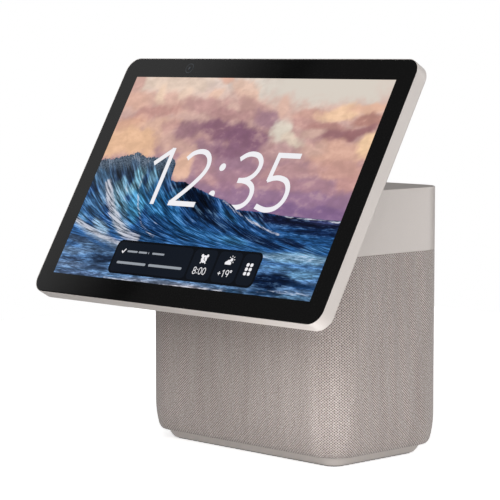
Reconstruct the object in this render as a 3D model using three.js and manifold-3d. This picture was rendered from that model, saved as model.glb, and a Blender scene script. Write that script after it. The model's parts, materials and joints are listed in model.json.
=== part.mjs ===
// Smart display: a 10.1 inch screen on a friction hinge, in front of a fabric-covered speaker base.
// Units are millimetres, +Z is up and the screen faces -Y.
// The origin is on the table, under the middle of the base.
import * as THREE from "three";
import { mergeVertices } from "three/addons/utils/BufferGeometryUtils.js";
import Module from "manifold-3d";

const wasm = await Module();
wasm.setup();

// ---------------------------------------------------------------- driving dimensions

const GAP = 0.3; // clearance between neighbouring pieces
const BASE_WIDTH = 164; // along X
const BASE_DEPTH = 96; // along Y
const BASE_CORNER = 20; // plan radius of the base's upright corners
const BASE_HEIGHT = 158.1;
const COLLAR_BOTTOM = 121.3; // the plastic collar starts here, above the fabric
const PLINTH_BOTTOM = 0.6; // the rubber pad stands this far out below the plinth
const PLINTH_TOP = 5.9;
const FABRIC_BOTTOM = 6.2;
const FABRIC_THICKNESS = 1.0;
const TAPER_TOP = 26.6; // the fabric curves inwards below this height
const TAPER_HEIGHT = 18.5;
const TAPER_INSET = 2.3; // inset of the fabric at the foot of the curve
const TAPER_POWER = 2.3;
const COLLAR_WALL = 2.6;
const LIP = 0.7; // the collar's rim, seen round the top cover
const COVER_THICKNESS = 2.0;
const CABINET_WALL = 3.6;

const TILT = THREE.MathUtils.degToRad(30); // the screen leans back this far as stored
const HINGE_Y = -50.6; // the tilt axis runs along X through this point
const HINGE_Z = 144.6;
const SCREEN_WIDTH = 243; // outside of the screen's housing
const SCREEN_HEIGHT = 162.1;
const SCREEN_CORNER = 9.2;
const GLASS_INSET = 0.65; // from the housing's outline to the glass
const GLASS_THICKNESS = 1.0;
const ACTIVE_WIDTH = 216.96; // lit area of a 10.1 inch 16:10 panel
const ACTIVE_HEIGHT = 135.6;
const SCREEN_FRONT = 18.6; // from the tilt axis to the glass's face
const SCREEN_SIDE = 8.5; // straight part of the housing's edge
const SCREEN_BACK = 8.0; // from the tilt axis to the housing's back
const SCREEN_CENTRE = 9.6; // the lit area's centre is this far above the tilt axis

const BARREL = 8.2; // radius of the hinge barrel
const TROUGH = 9.0; // radius of the trough in the base that the barrel turns in
const SHAFT = 2.5;
const EAR_INNER = 30; // each steel ear lies between these distances from the middle
const EAR_OUTER = 33.5;
const EAR_HEAD = 7.4;
const BARREL_END = 42;
const NECK = 14.4; // height of the neck between the barrel and the screen's housing

const BUTTON_RADIUS = 5.6;
const BUTTON_Y = 18;
const BUTTON_X = { volume_down: -45, volume_up: -15, action: 15, microphone: 45 };
const MIC_HOLE = 0.7;

const BOARD = 1.6; // thickness of a circuit board
const MAIN_BOARD_TOP = 127.6;
const SWITCH_TOP = 152.4;
const BUTTON_BOARD_TOP = SWITCH_TOP - 2.6;

const WOOFER_Z = 57;
const WOOFER_RADIUS = 42;
const TWEETER_X = 46;
const TWEETER_Z = 105;
const TWEETER_RADIUS = 14;
const RADIATOR_Z = 60;
const RADIATOR_RADIUS = 26;

const INLET_Z = 32; // centre of the power inlet, in the back
const INLET_WIDTH = 26;
const INLET_HEIGHT = 18;
const INLET_DEPTH = 9;
const INLET_WALL = 2;

const BRACKET_BACK = -36.8; // the hinge bracket's plate ends here, towards the middle of the base
const BRACKET_PLATE = 2.4;
const BRACKET_HALF = 40;
const BRACKET_BOTTOM = 123;
const BRACKET_TOP = 152.5;
const BRACKET_SCREWS = [[-34, 127], [-12, 127], [12, 127], [34, 127]]; // [x, z] of each

const HINGE_ARM_INNER = 21.5; // each arm of the screen's hinge lies between these distances from the middle
const HINGE_ARM_OUTER = 28.5;
const HINGE_ARM_HALF = 5.2; // half of an arm's height
const CABLE_SLOT_HALF = 8.6; // half width of the display cable's slot in the housing

// Layers behind the glass: margin round the lit area, then front and back, from the tilt axis.
const LCD_LAYER = [1.8, 17.3, 16.1];
const BACKLIGHT_LAYER = [2.2, 15.8, 13.4];
const CAMERA_X = -63.5;
const CAMERA_UP = 74.1; // above the lit area's centre

// ---------------------------------------------------------------- materials

const material = (color, roughness, metalness = 0) =>
  new THREE.MeshStandardMaterial({ color, roughness, metalness });
const beigePlastic = material(0xc4bab2, 0.5);
const taupePlastic = material(0x857d77, 0.6);
const darkPlastic = material(0x26272a, 0.6);
const greyFabric = material(0xa1968f, 0.95);
const blackGlass = material(0x101010, 0.08);
const displayPanel = material(0x3d4a78, 0.3);
const rubber = material(0x3b3937, 0.9);
const steel = material(0x9a9c9f, 0.35, 1);
const aluminium = material(0xb9bbbd, 0.4, 1);
const circuitBoard = material(0x1f5a3a, 0.55);
const paperCone = material(0x2b2b2d, 0.8);
const magnetIron = material(0x4a4b4d, 0.6, 1);
const cableFilm = material(0x8c5a2b, 0.6);
const lensGlass = material(0x203038, 0.05);

// ---------------------------------------------------------------- solids

// A closed geometry as a manifold-3d solid.
function solid(geometry) {
  const plain = geometry.clone();
  plain.deleteAttribute("normal");
  plain.deleteAttribute("uv");
  const merged = mergeVertices(plain, 1e-4);
  const mesh = new wasm.Mesh({
    numProp: 3,
    vertProperties: merged.attributes.position.array,
    triVerts: new Uint32Array(merged.index.array),
  });
  return new wasm.Manifold(mesh);
}

function cut(body, ...tools) {
  return tools.reduce((left, tool) => left.subtract(solid(tool)), solid(body));
}

function join(...bodies) {
  return bodies.map(solid).reduce((all, body) => all.add(body));
}

// A manifold-3d solid as a geometry.
function geometryOf(manifold) {
  const mesh = manifold.getMesh();
  const geometry = new THREE.BufferGeometry();
  geometry.setAttribute("position", new THREE.BufferAttribute(new Float32Array(mesh.vertProperties), 3));
  geometry.setIndex(new THREE.BufferAttribute(new Uint32Array(mesh.triVerts), 1));
  const flat = geometry.toNonIndexed();
  flat.computeVertexNormals();
  return flat;
}

function box(x0, x1, y0, y1, z0, z1) {
  const geometry = new THREE.BoxGeometry(x1 - x0, y1 - y0, z1 - z0);
  return geometry.translate((x0 + x1) / 2, (y0 + y1) / 2, (z0 + z1) / 2);
}

// A cylinder along X from x0 to x1, centred on (y, z).
function rodX(radius, x0, x1, y = 0, z = 0, sides = 24) {
  const geometry = new THREE.CylinderGeometry(radius, radius, x1 - x0, sides);
  return geometry.rotateZ(-Math.PI / 2).translate((x0 + x1) / 2, y, z);
}

function rodY(radius, y0, y1, x = 0, z = 0, sides = 16) {
  const geometry = new THREE.CylinderGeometry(radius, radius, y1 - y0, sides);
  return geometry.translate(x, (y0 + y1) / 2, z);
}

function rodZ(radius, z0, z1, x = 0, y = 0, sides = 20) {
  const geometry = new THREE.CylinderGeometry(radius, radius, z1 - z0, sides);
  return geometry.rotateX(Math.PI / 2).translate(x, y, (z0 + z1) / 2);
}

// The corner points of a rounded rectangle, anticlockwise.
function outline(width, depth, radius, cornerSteps) {
  const points = [];
  const centres = [[1, 1], [-1, 1], [-1, -1], [1, -1]];
  centres.forEach(([sx, sy], corner) => {
    for (let step = 0; step <= cornerSteps; step++) {
      const angle = ((corner + step / cornerSteps) * Math.PI) / 2;
      points.push([
        sx * (width / 2 - radius) + radius * Math.cos(angle),
        sy * (depth / 2 - radius) + radius * Math.sin(angle),
      ]);
    }
  });
  return points;
}

// A closed solid through rounded rectangles. Each ring is [height, inset], from the lowest to the highest.
function loft(width, depth, radius, rings, cornerSteps = 6) {
  const positions = [];
  const indices = [];
  for (const [height, inset] of rings) {
    const corner = Math.max(radius - inset, 0.5);
    const points = outline(width - 2 * inset, depth - 2 * inset, corner, cornerSteps);
    points.forEach(([x, y]) => positions.push(x, y, height));
  }
  const count = 4 * (cornerSteps + 1);
  for (let ring = 0; ring + 1 < rings.length; ring++) {
    for (let i = 0; i < count; i++) {
      const a = ring * count + i;
      const b = ring * count + ((i + 1) % count);
      indices.push(a, b, b + count, a, b + count, a + count);
    }
  }
  const last = (rings.length - 1) * count;
  for (let i = 1; i + 1 < count; i++) {
    indices.push(0, i + 1, i);
    indices.push(last, last + i, last + i + 1);
  }
  const geometry = new THREE.BufferGeometry();
  geometry.setAttribute("position", new THREE.Float32BufferAttribute(positions, 3));
  geometry.setIndex(indices);
  const flat = geometry.toNonIndexed();
  flat.computeVertexNormals();
  return flat;
}

// A prism with the base's plan, set in by inset, from z0 to z1.
const basePrism = (inset, z0, z1) =>
  loft(BASE_WIDTH, BASE_DEPTH, BASE_CORNER, [[z0, inset], [z1, inset]]);

// A part turned about an axis. The profile is [radius, depth] points in either order.
// Depth runs along +Y.
function turned(profile, sides) {
  const points = profile.map(([radius, depth]) => new THREE.Vector2(radius, depth));
  const closed = [...points, new THREE.Vector2(0, points.at(-1).y), new THREE.Vector2(0, points[0].y)];
  if (THREE.ShapeUtils.area(closed) < 0) points.reverse();
  return new THREE.LatheGeometry(points, sides);
}

const root = new THREE.Group();
const screen = new THREE.Group(); // its origin is on the tilt axis; its own -Y is towards the viewer
screen.position.set(0, HINGE_Y, HINGE_Z);
screen.rotation.x = -TILT;
root.add(screen);

function place(group, name, shape, finish) {
  const geometry = shape.isBufferGeometry ? shape : geometryOf(shape);
  const mesh = new THREE.Mesh(geometry, finish);
  mesh.name = name;
  group.add(mesh);
  return mesh;
}

// ---------------------------------------------------------------- base: shells

// How far the fabric's face lies inside the base's plan at a height.
function taper(z) {
  const share = Math.max(0, (TAPER_TOP - z) / TAPER_HEIGHT);
  return TAPER_INSET * share ** TAPER_POWER;
}

// Rings of the fabric's face moved inwards by depth, from the turned-in foot to z = top.
function fabricRings(depth, top) {
  const foot = FABRIC_BOTTOM + depth;
  const turn = [[foot, TAPER_INSET + 1.9 + depth], [foot + 0.5, TAPER_INSET + 0.8 + depth]];
  const curve = [8.4, 11.5, 15.5, 20.5, TAPER_TOP].map((z) => [z + depth, taper(z) + depth]);
  return [...turn, ...curve, [top, depth]];
}

function addFootAndPlinth() {
  const padInset = 13.2;
  const padTop = 1.5;
  place(root, "foot_pad", basePrism(padInset, 0, padTop), rubber);
  const body = loft(BASE_WIDTH, BASE_DEPTH, BASE_CORNER, [[PLINTH_BOTTOM, 11.2], [PLINTH_TOP, 7.6]]);
  const spigot = basePrism(8.6, PLINTH_TOP - 0.5, 8.0);
  const padPocket = basePrism(padInset - GAP, 0, padTop + GAP);
  const screwHoles = screwPlaces().map(([x, y]) => rodZ(1.9, 0, 9, x, y, 12));
  const headPockets = screwPlaces().map(([x, y]) => rodZ(3.6, 0, 3.7, x, y, 12));
  const plinth = [padPocket, ...screwHoles, ...headPockets].reduce(
    (left, tool) => left.subtract(solid(tool)),
    join(body, spigot),
  );
  place(root, "bottom_plate", plinth, beigePlastic);
}

const screwPlaces = () => [[-56, -22], [56, -22], [-56, 22], [56, 22]];

function addFabric() {
  const outer = loft(BASE_WIDTH, BASE_DEPTH, BASE_CORNER, fabricRings(0, COLLAR_BOTTOM - GAP));
  const inner = loft(BASE_WIDTH, BASE_DEPTH, BASE_CORNER, fabricRings(FABRIC_THICKNESS, BASE_HEIGHT));
  const bottomHole = basePrism(8.2, 0, 9);
  place(root, "fabric_sleeve", cut(outer, inner, bottomHole, inletHole(1)), greyFabric);
}

// The hole for the power inlet's bezel, with a margin all round.
function inletHole(margin) {
  const profile = [[-70, 0], [-30, 0]];
  const hole = loft(INLET_WIDTH + 2 * margin, INLET_HEIGHT + 2 * margin, 5 + margin, profile, 4);
  return hole.rotateX(Math.PI / 2).translate(0, 0, INLET_Z);
}

function addCabinet() {
  const skin = FABRIC_THICKNESS + GAP;
  const curve = [9.4, 13.5, 20.5, TAPER_TOP].map((z) => [z, taper(z - 1) + skin + 0.3]);
  const outer = [[8.3, TAPER_INSET + 3.6], ...curve, [COLLAR_BOTTOM - 0.6, skin + 0.3]];
  const cavity = basePrism(skin + CABINET_WALL, 12, BASE_HEIGHT);
  const front = -BASE_DEPTH / 2;
  const side = BASE_WIDTH / 2;
  const shell = cut(
    loft(BASE_WIDTH, BASE_DEPTH, BASE_CORNER, outer),
    cavity,
    rodY(WOOFER_RADIUS - 5, front - 2, front + 12, 0, WOOFER_Z, 28),
    rodY(TWEETER_RADIUS - 3, front - 2, front + 12, -TWEETER_X, TWEETER_Z, 16),
    rodY(TWEETER_RADIUS - 3, front - 2, front + 12, TWEETER_X, TWEETER_Z, 16),
    rodX(RADIATOR_RADIUS - 3, -side - 2, -side + 12, 0, RADIATOR_Z, 24),
    rodX(RADIATOR_RADIUS - 3, side - 12, side + 2, 0, RADIATOR_Z, 24),
    inletHole(GAP),
    ...screwPlaces().map(([x, y]) => rodZ(1.3, 0, 11, x, y, 10)),
  );
  place(root, "speaker_cabinet", shell, darkPlastic);

  const lidTop = COLLAR_BOTTOM + 1.3;
  const posts = [[-58, -20], [58, -20], [-58, 28], [58, 28]].map(([x, y]) =>
    rodZ(2.6, lidTop - 0.2, MAIN_BOARD_TOP - BOARD - GAP, x, y, 10),
  );
  const lid = join(basePrism(COLLAR_WALL + GAP, COLLAR_BOTTOM - GAP, lidTop), ...posts);
  place(root, "cabinet_lid", lid, darkPlastic);
}

function addCollar() {
  const outer = loft(BASE_WIDTH, BASE_DEPTH, BASE_CORNER, [
    [COLLAR_BOTTOM, 0],
    [BASE_HEIGHT - 0.5, 0],
    [BASE_HEIGHT - 0.15, 0.15],
    [BASE_HEIGHT, 0.5],
  ]);
  const coverSeat = BASE_HEIGHT - 0.2 - COVER_THICKNESS - GAP;
  let collar = cut(
    outer,
    basePrism(COLLAR_WALL, COLLAR_BOTTOM - 1, coverSeat - 2),
    basePrism(5, coverSeat - 3, coverSeat + 1),
    basePrism(LIP, coverSeat, BASE_HEIGHT + 1),
  );
  const wallBack = -BASE_DEPTH / 2 + COLLAR_WALL;
  for (const [x, z] of BRACKET_SCREWS) {
    collar = collar.add(solid(rodY(3.2, wallBack - 1, BRACKET_BACK - BRACKET_PLATE - GAP, x, z, 12)));
    collar = collar.subtract(solid(rodY(1.3, wallBack + 0.5, BRACKET_BACK, x, z, 10)));
  }
  collar = collar.subtract(solid(rodX(TROUGH, -43.3, 43.3, HINGE_Y, HINGE_Z, 32)));
  // behind the wall the trough is lined by hinge_cowl, so the ledge stays clear of it
  collar = collar.subtract(solid(box(-46, 46, wallBack, -36, 131, coverSeat)));
  place(root, "top_collar", collar, beigePlastic);
}

function addTopCover() {
  const top = BASE_HEIGHT - 0.2;
  const holes = Object.values(BUTTON_X).map((x) => rodZ(BUTTON_RADIUS + 0.35, 150, 160, x, BUTTON_Y));
  const microphones = [[-70, 0], [70, 0], [0, 38], [0, -36]];
  const micHoles = microphones.map(([x, y]) => rodZ(MIC_HOLE, 150, 160, x, y, 8));
  const underside = top - COVER_THICKNESS;
  const posts = [-30, 0, 30].map((x) =>
    rodZ(2.4, BUTTON_BOARD_TOP + GAP, underside + 0.2, x, BUTTON_Y, 10),
  );
  const cover = [...holes, ...micHoles].reduce(
    (left, tool) => left.subtract(solid(tool)),
    join(basePrism(LIP + 0.2, underside, top), ...posts),
  );
  place(root, "top_cover", cover, taupePlastic);
}

function addButtons() {
  const coverUnderside = BASE_HEIGHT - 0.2 - COVER_THICKNESS;
  for (const [name, x] of Object.entries(BUTTON_X)) {
    const cap = rodZ(BUTTON_RADIUS, coverUnderside - 1.4, BASE_HEIGHT, x, BUTTON_Y, 20);
    const flange = rodZ(BUTTON_RADIUS + 1.2, coverUnderside - 1.3, coverUnderside - GAP, x, BUTTON_Y, 20);
    const stem = rodZ(1.6, SWITCH_TOP + 0.7, coverUnderside - 1, x, BUTTON_Y, 8);
    place(root, "button_" + name, join(cap, flange, stem), beigePlastic);
  }
}

// ---------------------------------------------------------------- base: electronics

function addBoards() {
  const boardTop = BUTTON_BOARD_TOP;
  const switches = Object.values(BUTTON_X).map((x) =>
    box(x - 3, x + 3, BUTTON_Y - 3, BUTTON_Y + 3, boardTop - 0.1, SWITCH_TOP),
  );
  const buttonBoard = box(-58, 58, BUTTON_Y - 8, BUTTON_Y + 8, boardTop - BOARD, boardTop);
  place(root, "button_board", join(buttonBoard, ...switches), circuitBoard);

  const mainTop = MAIN_BOARD_TOP;
  const mainBoard = join(
    box(-64, 64, -26, 34, mainTop - BOARD, mainTop),
    box(-24, 24, -16, 20, mainTop - 0.1, mainTop + 2.4),
    box(34, 56, 10, 26, mainTop - 0.1, mainTop + 5),
    box(-56, -38, 12, 28, mainTop - 0.1, mainTop + 3.5),
    box(-12, 12, -25.5, -20, mainTop - 0.1, mainTop + 2.2),
  );
  place(root, "main_board", mainBoard, circuitBoard);

  const sinkBottom = mainTop + 2.4 + GAP;
  const fins = [-20, -12, -4, 4, 12, 20].map((x) =>
    box(x - 1, x + 1, -15, 19, sinkBottom + 2, sinkBottom + 12),
  );
  const sink = join(box(-23, 23, -15, 19, sinkBottom, sinkBottom + 2.2), ...fins);
  place(root, "heat_sink", sink, aluminium);

  for (const [side, sign] of [["left", -1], ["right", 1]]) {
    const x = sign * (BASE_WIDTH / 2 - COLLAR_WALL - GAP - 0.6);
    const antenna = box(x - 0.5, x + 0.5, -16, 16, 136, 146);
    place(root, "wifi_antenna_" + side, antenna, cableFilm);
  }
}

// The power inlet: a plastic cup let into the back, with a round socket at its bottom.
function addInlet() {
  const back = BASE_DEPTH / 2;
  const flange = loft(INLET_WIDTH + 5, INLET_HEIGHT + 5, 7.5, [[-back - 1.0, 0.6], [-back - 0.4, 0]], 4);
  const cupProfile = [[-back - 0.6, 0], [-back + INLET_DEPTH, 0]];
  const cup = loft(INLET_WIDTH - 0.6, INLET_HEIGHT - 0.6, 4.7, cupProfile, 4);
  const hollowProfile = [[-back - INLET_WALL, 0], [-back + INLET_DEPTH - INLET_WALL, 0]];
  const inset = 2 * INLET_WALL + 0.6;
  const hollow = loft(INLET_WIDTH - inset, INLET_HEIGHT - inset, 2.7, hollowProfile, 4);
  const turnBack = (geometry) => geometry.rotateX(Math.PI / 2).translate(0, 0, INLET_Z);
  const bezel = solid(turnBack(flange))
    .add(solid(turnBack(cup)))
    .subtract(solid(turnBack(hollow)))
    .subtract(solid(rodY(4.3, 30, 50, 0, INLET_Z)));
  place(root, "power_bezel", bezel, darkPlastic);

  const socketFront = back - INLET_DEPTH + 1.4;
  const socketBack = socketFront - 13;
  const barrel = rodY(4.0, socketBack, socketFront, 0, INLET_Z, 20);
  const bore = rodY(3.1, socketFront - 9.5, socketFront + 1, 0, INLET_Z, 20);
  const pin = rodY(1.0, socketFront - 10, socketFront - 1, 0, INLET_Z, 12);
  const rearBlock = box(-6, 6, socketBack - 4, socketBack + 4.6, INLET_Z - 5, INLET_Z + 5);
  const socket = join(barrel, rearBlock).subtract(solid(bore)).add(solid(pin));
  place(root, "power_socket", socket, steel);
}

// ---------------------------------------------------------------- base: loudspeakers

function addWoofer() {
  const mountY = -BASE_DEPTH / 2 + FABRIC_THICKNESS + 2 * GAP + CABINET_WALL + 0.1;
  const sides = 20;
  const put = (name, profile, finish) => {
    const geometry = turned(profile, sides).translate(0, mountY, WOOFER_Z);
    place(root, name, geometry, finish);
  };
  put("woofer_basket", [
    [35, 0.3], [WOOFER_RADIUS, 0.3], [WOOFER_RADIUS, 3], [37, 3.2], [25, 28],
    [12, 28], [12, 25.6], [23.4, 25.6], [34.4, 3], [35, 0.3],
  ], steel);
  put("woofer_magnet", [[0, 28.4], [22, 28.4], [22, 43], [0, 43]], magnetIron);
  put("woofer_cone", [
    [0, 13.5], [6, 14.5], [10, 17.5], [29.8, 2.4], [30.6, 3.4], [11, 20], [5, 16.4], [0, 15.2],
  ], paperCone);
  const surroundOuter = 34.2;
  const roll = [];
  const inwards = [];
  for (let step = 0; step <= 4; step++) {
    const angle = Math.PI * (1 - step / 4);
    roll.push([32.6 + 1.6 * Math.cos(angle), 0.6 - 1.8 * Math.sin(angle)]);
    inwards.unshift([32.6 + 1.0 * Math.cos(angle), 0.9 - 1.2 * Math.sin(angle)]);
  }
  put("woofer_surround", [[31.0, 2.2], ...roll, [surroundOuter, 1.6], ...inwards, [31.0, 2.2]], rubber);
}

function addTweeters() {
  const mountY = -BASE_DEPTH / 2 + FABRIC_THICKNESS + 2 * GAP + CABINET_WALL + 0.1;
  for (const [side, sign] of [["left", -1], ["right", 1]]) {
    const dome = [
      [0, -0.6], [4, 0.2], [7.5, 2.2], [10, 1.2], [10.5, 0.3], [TWEETER_RADIUS, 0.3], [TWEETER_RADIUS, 2.6],
      [10, 3], [10, 14], [0, 14],
    ];
    const geometry = turned(dome, 16).translate(sign * TWEETER_X, mountY, TWEETER_Z);
    place(root, "tweeter_" + side, geometry, paperCone);
  }
}

function addRadiators() {
  const mountX = BASE_WIDTH / 2 - FABRIC_THICKNESS - 2 * GAP - CABINET_WALL - 0.1;
  const profile = [
    [0, 0.8], [15, 0.8], [16, 1.8], [18, 0.2], [20, -0.4], [22, 0.6], [22.6, 0.3],
    [RADIATOR_RADIUS, 0.3], [RADIATOR_RADIUS, 2.6], [22, 2.8], [16, 3.4], [15, 4], [0, 4],
  ];
  for (const [side, sign] of [["left", -1], ["right", 1]]) {
    const geometry = turned(profile, 16);
    geometry.rotateZ((sign * Math.PI) / 2).translate(sign * mountX, 0, RADIATOR_Z);
    place(root, "passive_radiator_" + side, geometry, paperCone);
  }
}

// ---------------------------------------------------------------- base: hinge

function addHingeBracket() {
  const front = BRACKET_BACK - BRACKET_PLATE;
  const plate = box(-BRACKET_HALF, BRACKET_HALF, front, BRACKET_BACK, BRACKET_BOTTOM, BRACKET_TOP);
  const cableSlot = box(-10, 10, BRACKET_BACK - 4, BRACKET_BACK + 1, 141.6, 147.6);
  const pieces = [plate];
  const bores = [];
  for (const sign of [-1, 1]) {
    const x0 = Math.min(sign * EAR_INNER, sign * EAR_OUTER);
    const x1 = Math.max(sign * EAR_INNER, sign * EAR_OUTER);
    pieces.push(rodX(EAR_HEAD, x0, x1, HINGE_Y, HINGE_Z, 28));
    pieces.push(box(x0, x1, HINGE_Y, BRACKET_BACK - 1, HINGE_Z - 5, HINGE_Z + 5));
    bores.push(rodX(SHAFT + GAP, x0 - 1, x1 + 1, HINGE_Y, HINGE_Z, 20));
  }
  const holes = BRACKET_SCREWS.map(([x, z]) => rodY(1.8, BRACKET_BACK - 4, BRACKET_BACK + 1, x, z, 12));
  const bracket = [cableSlot, ...bores, ...holes].reduce(
    (left, tool) => left.subtract(solid(tool)),
    join(...pieces),
  );
  place(root, "hinge_bracket", bracket, steel);

  BRACKET_SCREWS.forEach(([x, z], index) => {
    const head = rodY(2.7, BRACKET_BACK + 0.1, BRACKET_BACK + 1.6, x, z, 12);
    const shank = rodY(1.1, BRACKET_BACK - 7, BRACKET_BACK + 0.2, x, z, 8);
    place(root, "bracket_screw_" + (index + 1), join(head, shank), steel);
  });
}

// The half-pipe that lines the trough behind the collar's wall, with a slot for each ear and for the cable.
function addHingeCowl() {
  const front = -BASE_DEPTH / 2 + COLLAR_WALL + GAP;
  const half = 45;
  const pipe = solid(rodX(TROUGH + 1.6, -half, half, HINGE_Y, HINGE_Z, 32));
  const lining = pipe
    .subtract(solid(rodX(TROUGH, -43.3, 43.3, HINGE_Y, HINGE_Z, 32)))
    .subtract(solid(box(-half - 1, half + 1, HINGE_Y - 14, front, HINGE_Z - 14, HINGE_Z + 14)))
    .subtract(solid(box(EAR_INNER - GAP, EAR_OUTER + GAP, HINGE_Y, -30, HINGE_Z - 5.4, HINGE_Z + 5.4)))
    .subtract(solid(box(-EAR_OUTER - GAP, -EAR_INNER + GAP, HINGE_Y, -30, HINGE_Z - 5.4, HINGE_Z + 5.4)))
    .subtract(solid(box(-9, 9, HINGE_Y, -30, HINGE_Z - 1.2, HINGE_Z + 1.2)));
  place(root, "hinge_cowl", lining, darkPlastic);
}

function addBaseScrews() {
  screwPlaces().forEach(([x, y], index) => {
    const head = rodZ(3.2, 1.9, 3.4, x, y, 12);
    const shank = rodZ(1.1, 3.3, 10.8, x, y, 8);
    place(root, "base_screw_" + (index + 1), join(head, shank), steel);
  });
}

// The display's flat cable, in two pieces that meet on the tilt axis, where the real one twists.
function addCables() {
  const film = 0.5;
  const baseRun = join(
    box(-8, 8, HINGE_Y + 0.4, -33, HINGE_Z - film / 2, HINGE_Z + film / 2),
    box(-8, 8, -33.5, -33, 131, HINGE_Z + film / 2),
    box(-8, 8, -33.5, -26.4, 130.8, 131.3),
    box(-8, 8, -26.9, -26.4, 127.8, 131.3),
  );
  place(root, "display_cable_base", baseRun, cableFilm);
  const screenRun = join(
    box(-8, 8, -10.9, -0.4, -film / 2, film / 2),
    box(-8, 8, -10.9, -10.4, -film / 2, 25.7),
  );
  place(screen, "display_cable_screen", screenRun, cableFilm);
}

// ---------------------------------------------------------------- screen

// A rounded slab in the screen's frame. Distances are measured forwards from the tilt axis.
function slab(width, height, radius, rings, steps = 6) {
  return loft(width, height, radius, rings, steps).rotateX(Math.PI / 2).translate(0, 0, SCREEN_CENTRE);
}

function addScreenShells() {
  const glassWidth = SCREEN_WIDTH - 2 * GLASS_INSET;
  const glassHeight = SCREEN_HEIGHT - 2 * GLASS_INSET;
  const glassBack = SCREEN_FRONT - GLASS_THICKNESS;
  const glassProfile = [[glassBack, 0], [SCREEN_FRONT, 0]];
  const glass = slab(glassWidth, glassHeight, SCREEN_CORNER - GLASS_INSET, glassProfile);
  place(screen, "cover_glass", glass, blackGlass);

  const sideBack = SCREEN_FRONT - SCREEN_SIDE;
  const outer = slab(SCREEN_WIDTH, SCREEN_HEIGHT, SCREEN_CORNER, [
    [SCREEN_BACK, 7],
    [SCREEN_BACK + 0.35, 3.4],
    [SCREEN_BACK + 1.0, 1.3],
    [sideBack, 0],
    [SCREEN_FRONT - 0.2, 0],
    [SCREEN_FRONT, 0.2],
  ]);
  const pocket = (inset, back, front) => {
    const profile = [[back, inset], [front, inset]];
    return slab(SCREEN_WIDTH, SCREEN_HEIGHT, SCREEN_CORNER, profile);
  };
  const armSlot = HINGE_ARM_HALF + 1.2;
  const shell = cut(
    outer,
    pocket(GLASS_INSET - GAP, glassBack - 0.2, SCREEN_FRONT + 1),
    pocket(2.0, SCREEN_BACK + 1.8, SCREEN_FRONT),
    box(-HINGE_ARM_OUTER - GAP, -HINGE_ARM_INNER + GAP, -14, 0, -armSlot, armSlot),
    box(HINGE_ARM_INNER - GAP, HINGE_ARM_OUTER + GAP, -14, 0, -armSlot, armSlot),
    box(-CABLE_SLOT_HALF, CABLE_SLOT_HALF, -14, 0, -0.9, 0.9),
  );
  place(screen, "screen_housing", shell, beigePlastic);
}

function addScreenStack() {
  const layer = (name, [margin, front, back], finish) => {
    const profile = [[back, 0], [front, 0]];
    const shape = slab(ACTIVE_WIDTH + 2 * margin, ACTIVE_HEIGHT + 2 * margin, 1.5, profile, 2);
    return place(screen, name, shape, finish);
  };
  layer("lcd_panel", LCD_LAYER, displayPanel);
  layer("backlight_unit", BACKLIGHT_LAYER, aluminium);
  const frame = cut(
    slab(SCREEN_WIDTH - 8, SCREEN_HEIGHT - 8, 5, [[12.1, 0], [13.1, 0]], 3),
    box(-90, -50, -20, 0, -40, 50),
    box(50, 90, -20, 0, -40, 50),
  );
  place(screen, "mid_frame", frame, aluminium);
  const board = join(
    box(-50, 50, -11.8, -10.8, 26, 60),
    box(-18, 6, -10.9, -10.1, 34, 54),
    box(20, 40, -10.9, -10.2, 32, 44),
  );
  place(screen, "screen_board", board, circuitBoard);
  place(screen, "microphone_strip", box(30, 100, -17.2, -16.2, 81.4, 85.4), circuitBoard);
}

// The camera looks out through the black border, above the lit area and left of the middle.
function addCamera() {
  const x = CAMERA_X;
  const z = SCREEN_CENTRE + CAMERA_UP;
  const body = join(
    box(x - 3.6, x + 3.6, -15.6, -13.4, z - 3.6, z + 3.6),
    rodY(3.0, -17.3, -15.4, x, z, 20),
  ).subtract(solid(rodY(1.9, -18, -16.3, x, z, 20)));
  place(screen, "camera_module", body, darkPlastic);
  place(screen, "camera_lens", rodY(1.6, -17.2, -16.6, x, z, 20), lensGlass);
}

function addScreenHinge() {
  for (const [side, sign] of [["left", -1], ["right", 1]]) {
    const span = (a, b) => [Math.min(sign * a, sign * b), Math.max(sign * a, sign * b)];
    const [a0, a1] = span(HINGE_ARM_INNER, HINGE_ARM_OUTER);
    const [p0, p1] = span(12, 44);
    const leaf = join(
      box(p0, p1, -11.6, -10.1, -13, 13),
      box(a0, a1, -10.2, -2, -HINGE_ARM_HALF, HINGE_ARM_HALF),
      rodX(6, a0, a1, 0, 0, 24),
    ).subtract(solid(rodX(SHAFT + GAP, a0 - 1, a1 + 1, 0, 0, 20)));
    place(screen, "hinge_leaf_" + side, leaf, steel);

    const [s0, s1] = span(HINGE_ARM_INNER + 0.5, BARREL_END - 1.6);
    place(screen, "hinge_shaft_" + side, rodX(SHAFT, s0, s1, 0, 0, 20), steel);

    const [c0, c1] = span(EAR_OUTER + GAP, BARREL_END);
    const [h0, h1] = span(EAR_OUTER, BARREL_END - 1.3);
    const cap = fairing(c0, c1).subtract(solid(rodX(SHAFT + GAP, h0, h1, 0, 0, 20)));
    place(screen, "hinge_cap_" + side, cap, beigePlastic);
  }
  const inner = EAR_INNER - GAP;
  const cover = fairing(-inner, inner)
    .subtract(solid(rodX(6.5, -inner - 1, inner + 1, 0, 0, 24)))
    .subtract(solid(box(-inner - 1, inner + 1, -9, 0, -5.6, 5.6)))
    .subtract(solid(box(-10, 10, 2.5, 10, -7, 7)));
  place(screen, "hinge_cover", cover, beigePlastic);
}

// The barrel's round section and the narrower neck that joins it to the housing's back, from x0 to x1.
function fairing(x0, x1) {
  const back = -SCREEN_BACK + GAP;
  const neck = box(x0, x1, back, -2, -NECK / 2, NECK / 2);
  const beyondHousing = box(x0 - 1, x1 + 1, -20, back, -20, 20);
  return join(rodX(BARREL, x0, x1, 0, 0, 32), neck).subtract(solid(beyondHousing));
}

// ---------------------------------------------------------------- assembly

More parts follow.
